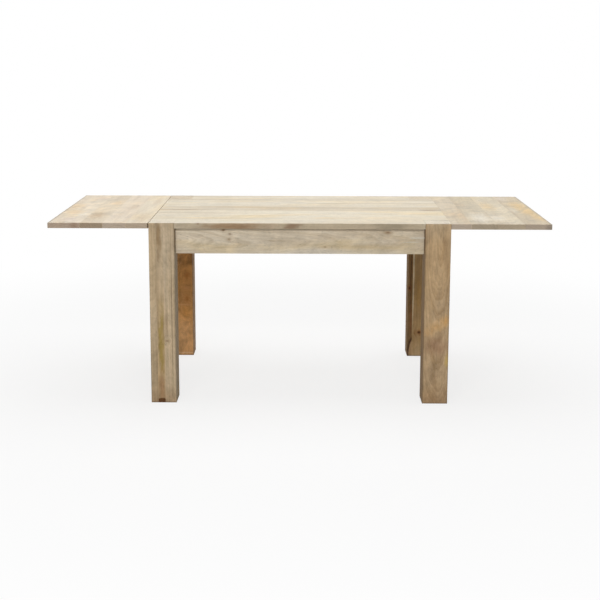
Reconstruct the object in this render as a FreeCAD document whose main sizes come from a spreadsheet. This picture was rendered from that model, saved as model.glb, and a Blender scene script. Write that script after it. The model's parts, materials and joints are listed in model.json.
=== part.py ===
# Extending dining table in solid wood.
# A boarded top sits between four square legs, whose end grain comes up flush at the corners.
# Aprons join the legs. At each end two arms draw out from under the top and carry a loose leaf,
# which dowels keep level with the top.
# The origin is on the floor under the middle of the top: X runs along the table, the front is at -Y.

import FreeCAD, Part
import os
import re
import Sketcher

# How many boards lie between the legs, and how many make a leaf
INNER_BOARDS = 5
LEAF_BOARDS = 4

# Driving dimensions, in millimetres
SIZES = {
    # Whole table
    "table_height": 740,
    "main_length": 1200,
    "table_depth": 800,
    "top_thickness": 22,
    # Legs and their glides
    "leg_side": 102,
    "leg_easing": 1.5,
    "leg_flat_cut": 17,
    "glide_radius": 14,
    "glide_thickness": 5,
    "glide_stand": 2,
    "glide_stem_radius": 2.5,
    "glide_stem_length": 14,
    # Aprons and the rail across the middle
    "apron_height": 104,
    "apron_thickness": 24,
    "apron_setback": 22,
    "groove_height": 8,
    "groove_depth": 8,
    "groove_drop": 12,
    "tongue_clearance": 1,
    "rail_width": 40,
    "rail_height": 60,
    "frame_dowel_radius": 4,
    "frame_dowel_length": 40,
    "frame_dowel_spacing": 52,
    "rail_dowel_spacing": 20,
    "rail_dowel_drop": 39,
    # Corner brackets and the bolts that hold the legs
    "bracket_thickness": 2.5,
    "bracket_margin": 17,
    "bracket_wing": 32,
    "bracket_screw_spacing": 44,
    "bracket_screw_inset": 13,
    "bracket_screw_bite": 16,
    "bolt_radius": 4,
    "bolt_in_leg": 45,
    "bolt_out": 16,
    "bolt_tip": 6,
    "bolt_spacing": 36,
    "washer_radius": 9,
    "washer_thickness": 1.6,
    "nut_across_flats": 13,
    "nut_height": 6.5,
    # Buttons that hold the top down
    "button_length": 40,
    "button_width": 26,
    "button_gap": 2,
    "button_near": 140,
    "button_from_leg": 138,
    # Leaves: each board's width, counted outwards from the table
    "left_board_1": 88,
    "left_board_2": 92,
    "left_board_3": 90,
    "left_board_4": 128,
    "right_board_1": 80,
    "right_board_2": 104,
    "right_board_3": 107,
    "right_board_4": 107,
    "left_gap": 2.5,
    "right_gap": 0.5,
    "leaf_dowel_radius": 5,
    "leaf_dowel_in_leaf": 35,
    "leaf_dowel_in_top": 25,
    # Battens under the leaves
    "batten_width": 30,
    "batten_height": 20,
    "batten_arm_gap": 3,
    "batten_inner_inset": 25,
    "batten_outer_inset": 30,
    # Draw-out arms, their stop pegs and keepers
    "arm_width": 45,
    "arm_height": 34,
    "arm_from_leg": 138,
    "arm_play": 0.3,
    "arm_grip": 16,
    "arm_rail_gap": 10,
    "arm_nose": 9,
    "peg_radius": 6,
    "peg_inset": 14,
    "peg_cover": 10,
    "peg_drop": 11,
    "keeper_length": 30,
    "keeper_cheek": 20,
    "keeper_floor": 14,
    "keeper_from_apron": 128,
    "stop_gap": 0.3,
    # Wood screws and the room round fasteners
    "screw_radius": 2,
    "screw_head_radius": 4,
    "screw_head_height": 2.6,
    "screw_tip": 4,
    "screw_bite": 14,
    "hole_clearance": 0.1,
    "hole_end_clearance": 1,
    "pull_clearance": 0.3,
}

# Sizes that follow from the driving ones
DERIVED = {
    "half_length": "main_length / 2",
    "half_depth": "table_depth / 2",
    "top_underside": "table_height - top_thickness",
    "apron_base": "top_underside - apron_height",
    "apron_middle": "apron_base + apron_height / 2",
    "apron_inside": "apron_setback + apron_thickness",
    "apron_centre": "apron_setback + apron_thickness / 2",
    "leg_length": "table_height - glide_stand",
    "inner_board_width": f"(table_depth - 2 * leg_side) / {INNER_BOARDS}",
    "tongue_height": "groove_height - tongue_clearance",
    "tongue_depth": "groove_depth - tongue_clearance",
    "button_height": "groove_drop + tongue_height",
    "button_far": "half_length - leg_side - button_from_leg",
    "bracket_height": "apron_height - 2 * bracket_margin",
    "web_offset": "2 * leg_side - leg_flat_cut",
    "web_end": "web_offset - apron_inside",
    "arm_inner_end": "rail_width / 2 + arm_rail_gap",
    "arm_outer_end": "half_length - apron_setback + arm_grip",
    "arm_length": "arm_outer_end - arm_inner_end",
    "arm_stroke": "keeper_start - stop_gap - peg_radius - peg_inset - arm_inner_end",
    "arm_side": "half_depth - leg_side - arm_from_leg",
    "arm_half_room": "arm_width / 2 + arm_play",
    "arm_room_height": "arm_height + 2 * arm_play",
    "arm_underside": "top_underside - arm_play - arm_height",
    "peg_in_arm": "arm_height - peg_cover",
    "keeper_height": "arm_room_height + keeper_floor",
    "keeper_half_width": "arm_half_room + keeper_cheek",
    "keeper_screw_offset": "arm_half_room + keeper_cheek / 2",
    "keeper_start": "half_length - apron_inside - keeper_from_apron - keeper_length",
    "batten_side": "arm_side + arm_width / 2 + batten_arm_gap",
    "leaf_dowel_side": "2 * inner_board_width",
    "leaf_dowel_height": "table_height - top_thickness / 2",
}

FULL_TURN = 360
UP = FreeCAD.Vector(0, 0, 1)

# Each corner: the signs of its X and Y, and its turn from the front left corner
CORNERS = {
    "front_left": (-1, -1, 0),
    "front_right": (1, -1, 90),
    "rear_right": (1, 1, 180),
    "rear_left": (-1, 1, 270),
}
ENDS = {"left": -1, "right": 1}
SIDES = {"front": -1, "rear": 1}

doc = FreeCAD.newDocument("extending_table")
sheet = doc.addObject("Spreadsheet::Sheet", "Sizes")
for row, (name, number) in enumerate(SIZES.items(), start=1):
    sheet.set(f"A{row}", name)
    sheet.set(f"B{row}", str(number))
    sheet.setAlias(f"B{row}", name)
doc.recompute()

subparts = []


# Helpers that bind sizes to the sheet

def formula(text):
    """The expression for a size: derived names are written out, and driving ones point at their cells."""
    def expand(match):
        word = match.group(0)
        if word in DERIVED:
            return f"({formula(DERIVED[word])})"
        return f"Sizes.{word}" if word in SIZES else word
    return re.sub(r"[A-Za-z_]\w*", expand, str(text))


def value(text):
    """The number that a size has now."""
    return float(sheet.evalExpression(formula(text)))


def bind(thing, prop, text):
    thing.setExpression(prop, formula(text))


def about_z(degrees):
    return FreeCAD.Rotation(UP, degrees)


def place(thing, at, turn=FreeCAD.Rotation()):
    """Turns a thing and puts it at a point that follows the sizes."""
    thing.Placement = FreeCAD.Placement(FreeCAD.Vector(), turn)
    for axis, text in zip("xyz", at):
        bind(thing, f"Placement.Base.{axis}", text)


def keep(thing, label):
    """Marks a thing as a sub-part of the table under its own name."""
    thing.Label = label
    subparts.append(thing)
    return thing


# Helpers for primitives and booleans

def box(name, size, at):
    made = doc.addObject("Part::Box", name)
    for prop, text in zip(("Length", "Width", "Height"), size):
        bind(made, prop, text)
    place(made, at)
    return made


def rod(name, radius, length, at, along=UP):
    made = doc.addObject("Part::Cylinder", name)
    bind(made, "Radius", radius)
    bind(made, "Height", length)
    place(made, at, FreeCAD.Rotation(UP, along))
    return made


def group(name, members):
    made = doc.addObject("Part::Compound", name)
    made.Links = members
    return made


def drilled(name, blank, holes):
    """A blank with every hole cut that passes through it."""
    made = doc.addObject("Part::Cut", name)
    made.Base = blank
    made.Tool = holes[0] if len(holes) == 1 else group(f"{name}_holes", holes)
    return made


# Helpers for bodies made from sketches

def new_body(name):
    return doc.addObject("PartDesign::Body", name)


def new_sketch(body, plane, name, lift="0"):
    """A sketch on one of the body's own planes, raised from it by lift."""
    made = body.newObject("Sketcher::SketchObject", name)
    support = next(f for f in body.Origin.OriginFeatures if f.Role == plane)
    made.AttachmentSupport = (support, [""])
    made.MapMode = "FlatFace"
    bind(made, "AttachmentOffset.Base.z", lift)
    return made


def pin_point(sketch, item, end, x, y):
    """Holds one point of a sketch at a distance from the origin that follows the sizes."""
    for kind, text in (("DistanceX", x), ("DistanceY", y)):
        number = sketch.addConstraint(Sketcher.Constraint(kind, -1, 1, item, end, value(text)))
        bind(sketch, f"Constraints[{number}]", text)


def outline(sketch, corners):
    """A closed run of straight lines through the corners."""
    points = [FreeCAD.Vector(value(x), value(y), 0) for x, y in corners]
    first = len(sketch.Geometry)
    count = len(points)
    for i in range(count):
        sketch.addGeometry(Part.LineSegment(points[i], points[(i + 1) % count]), False)
    for i in range(count):
        following = first + (i + 1) % count
        sketch.addConstraint(Sketcher.Constraint("Coincident", first + i, 2, following, 1))
    for i, (x, y) in enumerate(corners):
        pin_point(sketch, first + i, 1, x, y)


def rectangle(sketch, x0, y0, x1, y1):
    outline(sketch, [(x0, y0), (x1, y0), (x1, y1), (x0, y1)])


def ring(sketch, x, y, radius):
    """A circle in a sketch."""
    circle = Part.Circle(FreeCAD.Vector(value(x), value(y), 0), UP, value(radius))
    item = sketch.addGeometry(circle, False)
    number = sketch.addConstraint(Sketcher.Constraint("Radius", item, value(radius)))
    bind(sketch, f"Constraints[{number}]", radius)
    pin_point(sketch, item, 3, x, y)


def pad(body, sketch, name, length, centred=False):
    made = body.newObject("PartDesign::Pad", name)
    made.Profile = sketch
    bind(made, "Length", length)
    made.SideType = "Symmetric" if centred else "One side"
    return made


def pocket(body, sketch, name, depth):
    made = body.newObject("PartDesign::Pocket", name)
    made.Profile = sketch
    bind(made, "Length", depth)
    return made


def revolved(name, profile):
    """A body turned about the Z axis from corners given as radius and height."""
    body = new_body(name)
    sketch = new_sketch(body, "XZ_Plane", f"{name}_profile")
    outline(sketch, profile)
    made = body.newObject("PartDesign::Revolution", f"{name}_turning")
    made.Profile = sketch
    made.ReferenceAxis = (sketch, ["V_Axis"])
    made.Angle = FULL_TURN
    return body


def ease_uprights(body, feature, name, radius):
    """Rounds the upright edges of a feature."""
    doc.recompute()
    upright = [
        f"Edge{i}"
        for i, edge in enumerate(feature.Shape.Edges, start=1)
        if edge.BoundBox.ZLength > edge.BoundBox.XLength + edge.BoundBox.YLength
    ]
    made = body.newObject("PartDesign::Fillet", name)
    made.Base = (feature, upright)
    bind(made, "Radius", radius)


# Helpers for fasteners: copies of one master, with a hole for each

def corner_point(sx, sy, u, v, z):
    """A point given by its distances in from a corner's two outer faces, and its height."""
    return (f"{sx} * (half_length - ({u}))", f"{sy} * (half_depth - ({v}))", z)


def screw(name, length):
    """A pan head screw: the underside of its head is at Z 0 and it drives towards +Z."""
    return revolved(name, [
        ("0", "-screw_head_height"),
        ("screw_head_radius", "-screw_head_height"),
        ("screw_head_radius", "0"),
        ("screw_radius", "0"),
        ("screw_radius", f"{length} - screw_tip"),
        ("0", length),
    ])


def copies(label, master, places):
    """A sub-part of separate equal pieces. Each place is a point and the way the piece points."""
    links = []
    for number, (at, along) in enumerate(places, start=1):
        link = doc.addObject("App::Link", f"{label}_{number}")
        link.LinkedObject = master
        place(link, at, FreeCAD.Rotation(UP, along))
        links.append(link)
    return keep(group(f"{label}_group", links), label)


def holes_for(label, radius, depth, places):
    """The round holes that those pieces sit in."""
    wide = f"{radius} + hole_clearance"
    deep = f"{depth} + hole_end_clearance"
    return group(f"{label}_bores", [
        rod(f"{label}_bore_{number}", wide, deep, at, along)
        for number, (at, along) in enumerate(places, start=1)
    ])


# Dowels between the aprons and the legs, and between the rail and the long aprons

def frame_dowel_places():
    places = []
    for sx, sy, _ in CORNERS.values():
        for step in (-0.5, 0.5):
            z = f"apron_middle + {step} * frame_dowel_spacing"
            start = "leg_side - frame_dowel_length / 2"
            places.append((corner_point(sx, sy, start, "apron_centre", z), FreeCAD.Vector(-sx, 0, 0)))
            places.append((corner_point(sx, sy, "apron_centre", start, z), FreeCAD.Vector(0, -sy, 0)))
    for sy in SIDES.values():
        for step in (-0.5, 0.5):
            y = f"{sy} * (half_depth - apron_inside - frame_dowel_length / 2)"
            at = (f"{step} * rail_dowel_spacing", y, "top_underside - rail_dowel_drop")
            places.append((at, FreeCAD.Vector(0, sy, 0)))
    return places


frame_dowel = rod("frame_dowel", "frame_dowel_radius", "frame_dowel_length", ("0", "0", "0"))
copies("frame_dowels", frame_dowel, frame_dowel_places())
frame_dowel_holes = holes_for(
    "frame_dowels", "frame_dowel_radius", "frame_dowel_length", frame_dowel_places())


# Bolts through the corner brackets into the legs, with washers and nuts

def bolt_line(start):
    """Both bolts of every corner, from a distance along them measured out from the leg's flat."""
    reach = f"(web_offset / 2 + ({start}) / sqrt(2))"
    return [
        (corner_point(sx, sy, reach, reach, f"apron_middle + {step} * bolt_spacing"),
         FreeCAD.Vector(-sx, -sy, 0))
        for sx, sy, _ in CORNERS.values()
        for step in (-0.5, 0.5)
    ]


hanger_bolt = revolved("hanger_bolt", [
    ("0", "0"),
    ("bolt_radius", "bolt_tip"),
    ("bolt_radius", "bolt_in_leg + bolt_out"),
    ("0", "bolt_in_leg + bolt_out"),
])
copies("hanger_bolts", hanger_bolt, bolt_line("-bolt_in_leg"))
bolt_holes = holes_for(
    "hanger_bolts", "bolt_radius", "bolt_in_leg + bolt_out", bolt_line("-bolt_in_leg"))

washer = revolved("washer", [
    ("bolt_radius + hole_clearance", "0"),
    ("washer_radius", "0"),
    ("washer_radius", "washer_thickness"),
    ("bolt_radius + hole_clearance", "washer_thickness"),
])
copies("bolt_washers", washer, bolt_line("bracket_thickness"))

nut = new_body("nut")
nut_sketch = new_sketch(nut, "XY_Plane", "nut_section")
outline(nut_sketch, [
    (f"nut_across_flats / sqrt(3) * cos({60 * i} deg)", f"nut_across_flats / sqrt(3) * sin({60 * i} deg)")
    for i in range(6)
])
ring(nut_sketch, "0", "0", "bolt_radius + hole_clearance")
pad(nut, nut_sketch, "nut_blank", "nut_height")
copies("bolt_nuts", nut, bolt_line("bracket_thickness + washer_thickness"))


# Screws through the bracket wings into the aprons

def bracket_screw_places():
    places = []
    along_apron = "web_end + bracket_wing - bracket_screw_inset"
    head = "apron_inside + bracket_thickness"
    for sx, sy, _ in CORNERS.values():
        for step in (-0.5, 0.5):
            z = f"apron_middle + {step} * bracket_screw_spacing"
            places.append((corner_point(sx, sy, along_apron, head, z), FreeCAD.Vector(0, sy, 0)))
            places.append((corner_point(sx, sy, head, along_apron, z), FreeCAD.Vector(sx, 0, 0)))
    return places


BRACKET_SCREW = "bracket_thickness + bracket_screw_bite"
copies("bracket_screws", screw("bracket_screw", BRACKET_SCREW), bracket_screw_places())
bracket_screw_holes = holes_for("bracket_screws", "screw_radius", BRACKET_SCREW, bracket_screw_places())


# Glides: round pads let into the feet, with a stem

def glide_places():
    middle = "leg_side / 2"
    return [(corner_point(sx, sy, middle, middle, "0"), UP) for sx, sy, _ in CORNERS.values()]


glide = revolved("glide", [
    ("0", "0"),
    ("glide_radius", "0"),
    ("glide_radius", "glide_thickness"),
    ("glide_stem_radius", "glide_thickness"),
    ("glide_stem_radius", "glide_thickness + glide_stem_length"),
    ("0", "glide_thickness + glide_stem_length"),
])
copies("foot_glides", glide, glide_places())
glide_recesses = group("glide_recesses", [
    rod(f"glide_recess_{number}", "glide_radius + hole_clearance", "glide_thickness", at)
    for number, (at, _) in enumerate(glide_places(), start=1)
])
glide_stem_holes = holes_for(
    "foot_glides", "glide_stem_radius", "glide_thickness + glide_stem_length", glide_places())


# Legs: square posts with a flat on the inner corner where the bracket bolts on

def make_leg(corner, sx, sy, turn):
    name = f"leg_{corner}"
    post = new_body(f"{name}_post")
    section = new_sketch(post, "XY_Plane", f"{name}_section")
    rectangle(section, "0", "0", "leg_side", "leg_side")
    blank = pad(post, section, f"{name}_blank", "leg_length")
    ease_uprights(post, blank, f"{name}_easing", "leg_easing")
    flat = new_sketch(post, "XY_Plane", f"{name}_flat", "top_underside - glide_stand")
    cut_start = "leg_side - leg_flat_cut"
    outline(flat, [("leg_side", cut_start), ("leg_side", "leg_side"), (cut_start, "leg_side")])
    pocket(post, flat, f"{name}_flat_cut", "apron_height")
    place(post, corner_point(sx, sy, "0", "0", "glide_stand"), about_z(turn))
    holes = [frame_dowel_holes, bolt_holes, glide_recesses, glide_stem_holes]
    keep(drilled(f"{name}_drilled", post, holes), name)


for corner, (sx, sy, turn) in CORNERS.items():
    make_leg(corner, sx, sy, turn)


# Corner brackets: bent steel plates from apron to apron across the leg's flat

def make_bracket(corner, sx, sy, turn):
    name = f"corner_bracket_{corner}"
    plate = new_body(f"{name}_plate")
    plan = new_sketch(plate, "XY_Plane", f"{name}_plan")
    outer = "apron_inside + bracket_thickness"
    tip = "web_end + bracket_wing"
    bend = "web_end + bracket_thickness * (sqrt(2) - 1)"
    outline(plan, [
        (tip, "apron_inside"),
        ("web_end", "apron_inside"),
        ("apron_inside", "web_end"),
        ("apron_inside", tip),
        (outer, tip),
        (outer, bend),
        (bend, outer),
        (tip, outer),
    ])
    pad(plate, plan, f"{name}_blank", "bracket_height")
    place(plate, corner_point(sx, sy, "0", "0", "apron_middle - bracket_height / 2"), about_z(turn))
    keep(drilled(f"{name}_drilled", plate, [bolt_holes, bracket_screw_holes]), name)


for corner, (sx, sy, turn) in CORNERS.items():
    make_bracket(corner, sx, sy, turn)


# Aprons: boards on edge with a groove along the inside for the buttons

def apron_blank(name, length):
    """An apron along X with its outer face at Y 0, its inner face at +Y and its base at Z 0."""
    blank = new_body(f"{name}_board")
    profile = new_sketch(blank, "YZ_Plane", f"{name}_profile")
    groove_top = "apron_height - groove_drop"
    groove_base = "apron_height - groove_drop - groove_height"
    groove_back = "apron_thickness - groove_depth"
    outline(profile, [
        ("0", "0"),
        ("apron_thickness", "0"),
        ("apron_thickness", groove_base),
        (groove_back, groove_base),
        (groove_back, groove_top),
        ("apron_thickness", groove_top),
        ("apron_thickness", "apron_height"),
        ("0", "apron_height"),
    ])
    pad(blank, profile, f"{name}_blank", length, centred=True)
    return blank


def cut_arm_notches(blank, name):
    """Two notches in the apron's top edge, which the arms slide through."""
    notches = new_sketch(blank, "XZ_Plane", f"{name}_notches")
    for step in (-1, 1):
        middle = f"{step} * arm_side"
        rectangle(
            notches,
            f"{middle} - arm_half_room",
            "apron_height - arm_room_height",
            f"{middle} + arm_half_room",
            "apron_height",
        )
    pocket(blank, notches, f"{name}_notch_cut", "apron_thickness")


def make_long_apron(side, sy):
    name = f"apron_{side}"
    blank = apron_blank(name, "main_length - 2 * leg_side")
    place(blank, ("0", f"{sy} * (half_depth - apron_setback)", "apron_base"), about_z(90 + 90 * sy))
    keep(drilled(f"{name}_drilled", blank, [frame_dowel_holes, bracket_screw_holes]), name)


def make_end_apron(end, sx):
    name = f"apron_{end}_end"
    blank = apron_blank(name, "table_depth - 2 * leg_side")
    cut_arm_notches(blank, name)
    place(blank, (f"{sx} * (half_length - apron_setback)", "0", "apron_base"), about_z(90 * sx))
    keep(drilled(f"{name}_drilled", blank, [frame_dowel_holes, bracket_screw_holes]), name)


for side, sy in SIDES.items():
    make_long_apron(side, sy)
for end, sx in ENDS.items():
    make_end_apron(end, sx)

rail_length = "table_depth - 2 * apron_inside"
rail_blank = box(
    "centre_rail_blank",
    ("rail_width", rail_length, "rail_height"),
    ("-rail_width / 2", f"-({rail_length}) / 2", "top_underside - rail_height"),
)
keep(drilled("centre_rail_drilled", rail_blank, [frame_dowel_holes]), "centre_rail")


# Buttons: blocks with a tongue in the apron's groove, each screwed up into the top

def button_places():
    """The middle of each button at the apron's inner face under the top, and its turn from the front."""
    places = []
    for sy in SIDES.values():
        for sx in ENDS.values():
            for x in ("button_near", "button_far"):
                at = (f"{sx} * {x}", f"{sy} * (half_depth - apron_inside)", "top_underside")
                places.append((at, 90 + 90 * sy))
    for sx in ENDS.values():
        places.append(((f"{sx} * (half_length - apron_inside)", "0", "top_underside"), 90 * sx))
    return places


def button_screw_places():
    places = []
    reach = "(button_gap + button_length) / 2"
    for (x, y, z), turn in button_places():
        inward = about_z(turn).multVec(FreeCAD.Vector(0, 1, 0))
        at = (f"{x} + {round(inward.x)} * {reach}", f"{y} + {round(inward.y)} * {reach}",
              f"{z} - button_height")
        places.append((at, UP))
    return places


BUTTON_SCREW = "button_height + screw_bite"
copies("button_screws", screw("button_screw", BUTTON_SCREW), button_screw_places())
button_screw_holes = holes_for("button_screws", "screw_radius", BUTTON_SCREW, button_screw_places())

button = new_body("button")
button_profile = new_sketch(button, "YZ_Plane", "button_profile")
outline(button_profile, [
    ("button_gap", "0"),
    ("button_gap", "-groove_drop"),
    ("-tongue_depth", "-groove_drop"),
    ("-tongue_depth", "-button_height"),
    ("button_length", "-button_height"),
    ("button_length", "0"),
])
pad(button, button_profile, "button_blank", "button_width", centred=True)
button_links = []
for number, (at, turn) in enumerate(button_places(), start=1):
    link = doc.addObject("App::Link", f"button_{number}")
    link.LinkedObject = button
    place(link, at, about_z(turn))
    button_links.append(link)
button_blanks = group("button_blanks", button_links)
keep(drilled("top_buttons_drilled", button_blanks, [button_screw_holes]), "top_buttons")


# Keepers: U-shaped guides under the top that the arms slide through

def keeper_screw_places():
    places = []
    for sx in ENDS.values():
        for sy in SIDES.values():
            for step in (-1, 1):
                at = (
                    f"{sx} * (keeper_start + keeper_length / 2)",
                    f"{sy} * arm_side + {step} * keeper_screw_offset",
                    "top_underside - keeper_height",
                )
                places.append((at, UP))
    return places


KEEPER_SCREW = "keeper_height + screw_bite"
copies("keeper_screws", screw("keeper_screw", KEEPER_SCREW), keeper_screw_places())
keeper_screw_holes = holes_for("keeper_screws", "screw_radius", KEEPER_SCREW, keeper_screw_places())


def make_keeper(end, sx, side, sy):
    name = f"{end}_keeper_{side}"
    block = new_body(f"{name}_block")
    profile = new_sketch(block, "YZ_Plane", f"{name}_profile")
    outline(profile, [
        ("-keeper_half_width", "0"),
        ("-keeper_half_width", "-keeper_height"),
        ("keeper_half_width", "-keeper_height"),
        ("keeper_half_width", "0"),
        ("arm_half_room", "0"),
        ("arm_half_room", "-arm_room_height"),
        ("-arm_half_room", "-arm_room_height"),
        ("-arm_half_room", "0"),
    ])
    pad(block, profile, f"{name}_blank", "keeper_length", centred=True)
    place(block, (f"{sx} * (keeper_start + keeper_length / 2)", f"{sy} * arm_side", "top_underside"))
    keep(drilled(f"{name}_drilled", block, [keeper_screw_holes]), name)


# Arms: bars with a bevelled nose, drawn out to their stop pegs

def make_arm(end, sx, side, sy):
    name = f"{end}_arm_{side}"
    bar = new_body(f"{name}_bar")
    profile = new_sketch(bar, "XZ_Plane", f"{name}_profile")
    outline(profile, [
        ("0", "0"),
        ("arm_length - arm_nose", "0"),
        ("arm_length", "arm_nose"),
        ("arm_length", "arm_height"),
        ("0", "arm_height"),
    ])
    pad(bar, profile, f"{name}_blank", "arm_width", centred=True)
    at = (f"{sx} * (arm_inner_end + arm_stroke)", f"{sy} * arm_side", "arm_underside")
    place(bar, at, about_z(90 - 90 * sx))
    peg_at = (f"{sx} * (arm_inner_end + arm_stroke + peg_inset)", f"{sy} * arm_side",
              "arm_underside - peg_drop")
    peg_length = "peg_drop + peg_in_arm"
    peg_hole = holes_for(f"{end}_stop_peg_{side}", "peg_radius", peg_length, [(peg_at, UP)])
    keep(drilled(f"{name}_drilled", bar, [peg_hole]), name)
    peg = rod(f"{end}_{side}_peg", "peg_radius", peg_length, peg_at)
    keep(peg, f"{end}_stop_peg_{side}")


for end, sx in ENDS.items():
    for side, sy in SIDES.items():
        make_keeper(end, sx, side, sy)
        make_arm(end, sx, side, sy)


# Leaf dowels: glued into each leaf and pushed into the ends of the top

def leaf_dowel_places(end, sx, start):
    """The dowels of one leaf, from a distance out from the leaf's inner edge."""
    return [
        ((f"{sx} * (half_length + {end}_gap + ({start}))", f"{step} * leaf_dowel_side", "leaf_dowel_height"),
         FreeCAD.Vector(sx, 0, 0))
        for step in (-1, 0, 1)
    ]


LEAF_DOWEL = "leaf_dowel_in_top + leaf_dowel_in_leaf"
leaf_dowel = rod("leaf_dowel", "leaf_dowel_radius", LEAF_DOWEL, ("0", "0", "0"))
top_dowel_holes = []
for end, sx in ENDS.items():
    copies(f"{end}_leaf_dowels", leaf_dowel, leaf_dowel_places(end, sx, "-leaf_dowel_in_top"))
    for number, (at, along) in enumerate(leaf_dowel_places(end, sx, "-leaf_dowel_in_top"), start=1):
        x, y, z = at
        inner = (f"{x} - {sx} * (hole_end_clearance + {end}_gap)", y, z)
        bore = rod(f"{end}_top_bore_{number}", "leaf_dowel_radius + pull_clearance",
                   "leaf_dowel_in_top + hole_end_clearance + pull_clearance", inner, along)
        top_dowel_holes.append(bore)


# Top: inner boards run the whole length, and the front and rear boards fit between the legs

top_holes = [button_screw_holes, keeper_screw_holes, group("top_dowel_bores", top_dowel_holes)]


def make_top_board(name, length, width, y):
    blank = box(f"{name}_blank", (length, width, "top_thickness"),
                (f"-({length}) / 2", y, "top_underside"))
    keep(drilled(f"{name}_drilled", blank, top_holes), name)


between_legs = "main_length - 2 * leg_side"
make_top_board("top_board_front", between_legs, "leg_side", "-half_depth")
for number in range(INNER_BOARDS):
    y = f"-half_depth + leg_side + {number} * inner_board_width"
    make_top_board(f"top_board_{number + 1}", "main_length", "inner_board_width", y)
make_top_board("top_board_rear", between_legs, "leg_side", "half_depth - leg_side")


# Leaves: boards across the table, held by two battens that straddle the arms

def board_start(end, number):
    """How far a leaf board's inner edge lies from the table's middle."""
    before = "".join(f" + {end}_board_{i}" for i in range(1, number))
    return f"(half_length + {end}_gap{before})"


def batten_screw_places(end, sx):
    """One screw into the middle of each board, through each batten."""
    return [
        ((f"{sx} * ({board_start(end, number)} + {end}_board_{number} / 2)",
          f"{sy} * (batten_side + batten_width / 2)",
          "top_underside - batten_height"), UP)
        for number in range(1, LEAF_BOARDS + 1)
        for sy in SIDES.values()
    ]


def make_batten(end, sx, side, sy, holes):
    name = f"{end}_batten_{side}"
    inner = f"({board_start(end, 1)} + batten_inner_inset)"
    outer = f"({board_start(end, LEAF_BOARDS + 1)} - batten_outer_inset)"
    low_x = inner if sx > 0 else f"-{outer}"
    low_y = "batten_side" if sy > 0 else "-batten_side - batten_width"
    blank = box(f"{name}_blank", (f"{outer} - {inner}", "batten_width", "batten_height"),
                (low_x, low_y, "top_underside - batten_height"))
    keep(drilled(f"{name}_drilled", blank, [holes]), name)


def make_leaf(end, sx):
    length = "batten_height + screw_bite"
    places = batten_screw_places(end, sx)
    copies(f"{end}_batten_screws", screw(f"{end}_batten_screw", length), places)
    screw_holes = holes_for(f"{end}_batten_screws", "screw_radius", length, places)
    dowel_holes = holes_for(f"{end}_leaf_dowels", "leaf_dowel_radius", LEAF_DOWEL,
                            leaf_dowel_places(end, sx, "-leaf_dowel_in_top"))
    for number in range(1, LEAF_BOARDS + 1):
        name = f"{end}_leaf_board_{number}"
        width = f"{end}_board_{number}"
        start = board_start(end, number)
        low_x = start if sx > 0 else f"-({start} + {width})"
        blank = box(f"{name}_blank", (width, "table_depth", "top_thickness"),
                    (low_x, "-half_depth", "top_underside"))
        keep(drilled(f"{name}_drilled", blank, [screw_holes, dowel_holes]), name)
    for side, sy in SIDES.items():
        make_batten(end, sx, side, sy, screw_holes)


for end, sx in ENDS.items():
    make_leaf(end, sx)


# Checks, then one file for each sub-part

doc.recompute()
for thing in doc.Objects:
    if {"Invalid", "Error"} & set(thing.State):
        raise RuntimeError(f"{thing.Label} did not build: {thing.State}")
for thing in subparts:
    shape = thing.Shape
    if shape.isNull() or not shape.isValid() or not shape.Solids:
        raise RuntimeError(f"{thing.Label} has no valid solid")

os.makedirs("parts", exist_ok=True)
for thing in subparts:
    thing.Shape.exportStep(f"parts/{thing.Label}.step")
print(f"{len(subparts)} sub-parts, {sum(len(thing.Shape.Solids) for thing in subparts)} solids")
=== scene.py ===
# %% [markdown]
# # An extending dining table in pale mango wood
#
# The table has four square legs, a boarded top between them, and a loose leaf at each end that rests on
# two arms drawn out from under the top. Its solids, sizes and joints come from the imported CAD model,
# which is loaded first and never moved or changed. Each solid could simply be given a colour. Here a
# finished piece takes the place of each, because eased edges, joints and grown wood are what make a table
# look made.

# %% Load the frame
import json
import math

import bmesh
import bpy
import numpy as np
from mathutils import Matrix, Vector


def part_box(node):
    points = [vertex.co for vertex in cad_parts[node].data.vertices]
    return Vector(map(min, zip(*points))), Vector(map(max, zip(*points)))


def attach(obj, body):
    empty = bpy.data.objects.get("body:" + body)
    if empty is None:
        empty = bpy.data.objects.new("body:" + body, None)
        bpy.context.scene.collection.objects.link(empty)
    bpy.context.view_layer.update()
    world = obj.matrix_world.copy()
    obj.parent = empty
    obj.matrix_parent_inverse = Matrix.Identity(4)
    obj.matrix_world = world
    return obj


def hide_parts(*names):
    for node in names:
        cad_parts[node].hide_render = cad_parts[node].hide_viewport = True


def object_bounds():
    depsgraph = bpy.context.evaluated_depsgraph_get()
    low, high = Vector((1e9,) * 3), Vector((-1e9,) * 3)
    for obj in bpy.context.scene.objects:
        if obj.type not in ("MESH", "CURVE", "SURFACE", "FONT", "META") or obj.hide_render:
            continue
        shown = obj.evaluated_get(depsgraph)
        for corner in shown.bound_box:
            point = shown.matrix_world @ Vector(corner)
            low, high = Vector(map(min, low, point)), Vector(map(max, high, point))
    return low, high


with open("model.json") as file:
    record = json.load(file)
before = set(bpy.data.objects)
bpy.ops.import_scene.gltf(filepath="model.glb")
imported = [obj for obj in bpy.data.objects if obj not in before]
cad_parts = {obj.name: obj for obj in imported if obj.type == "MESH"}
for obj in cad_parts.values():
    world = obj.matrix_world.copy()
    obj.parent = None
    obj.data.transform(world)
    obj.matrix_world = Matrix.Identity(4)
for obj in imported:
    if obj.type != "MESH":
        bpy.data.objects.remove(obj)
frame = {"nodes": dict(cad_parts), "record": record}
cad_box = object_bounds()
record = frame["record"]

body_of = {node: body for body, nodes in record["behaviour"]["bodies"].items() for node in nodes}
print(f"{len(body_of)} nodes on {len(set(body_of.values()))} bodies")

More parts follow.
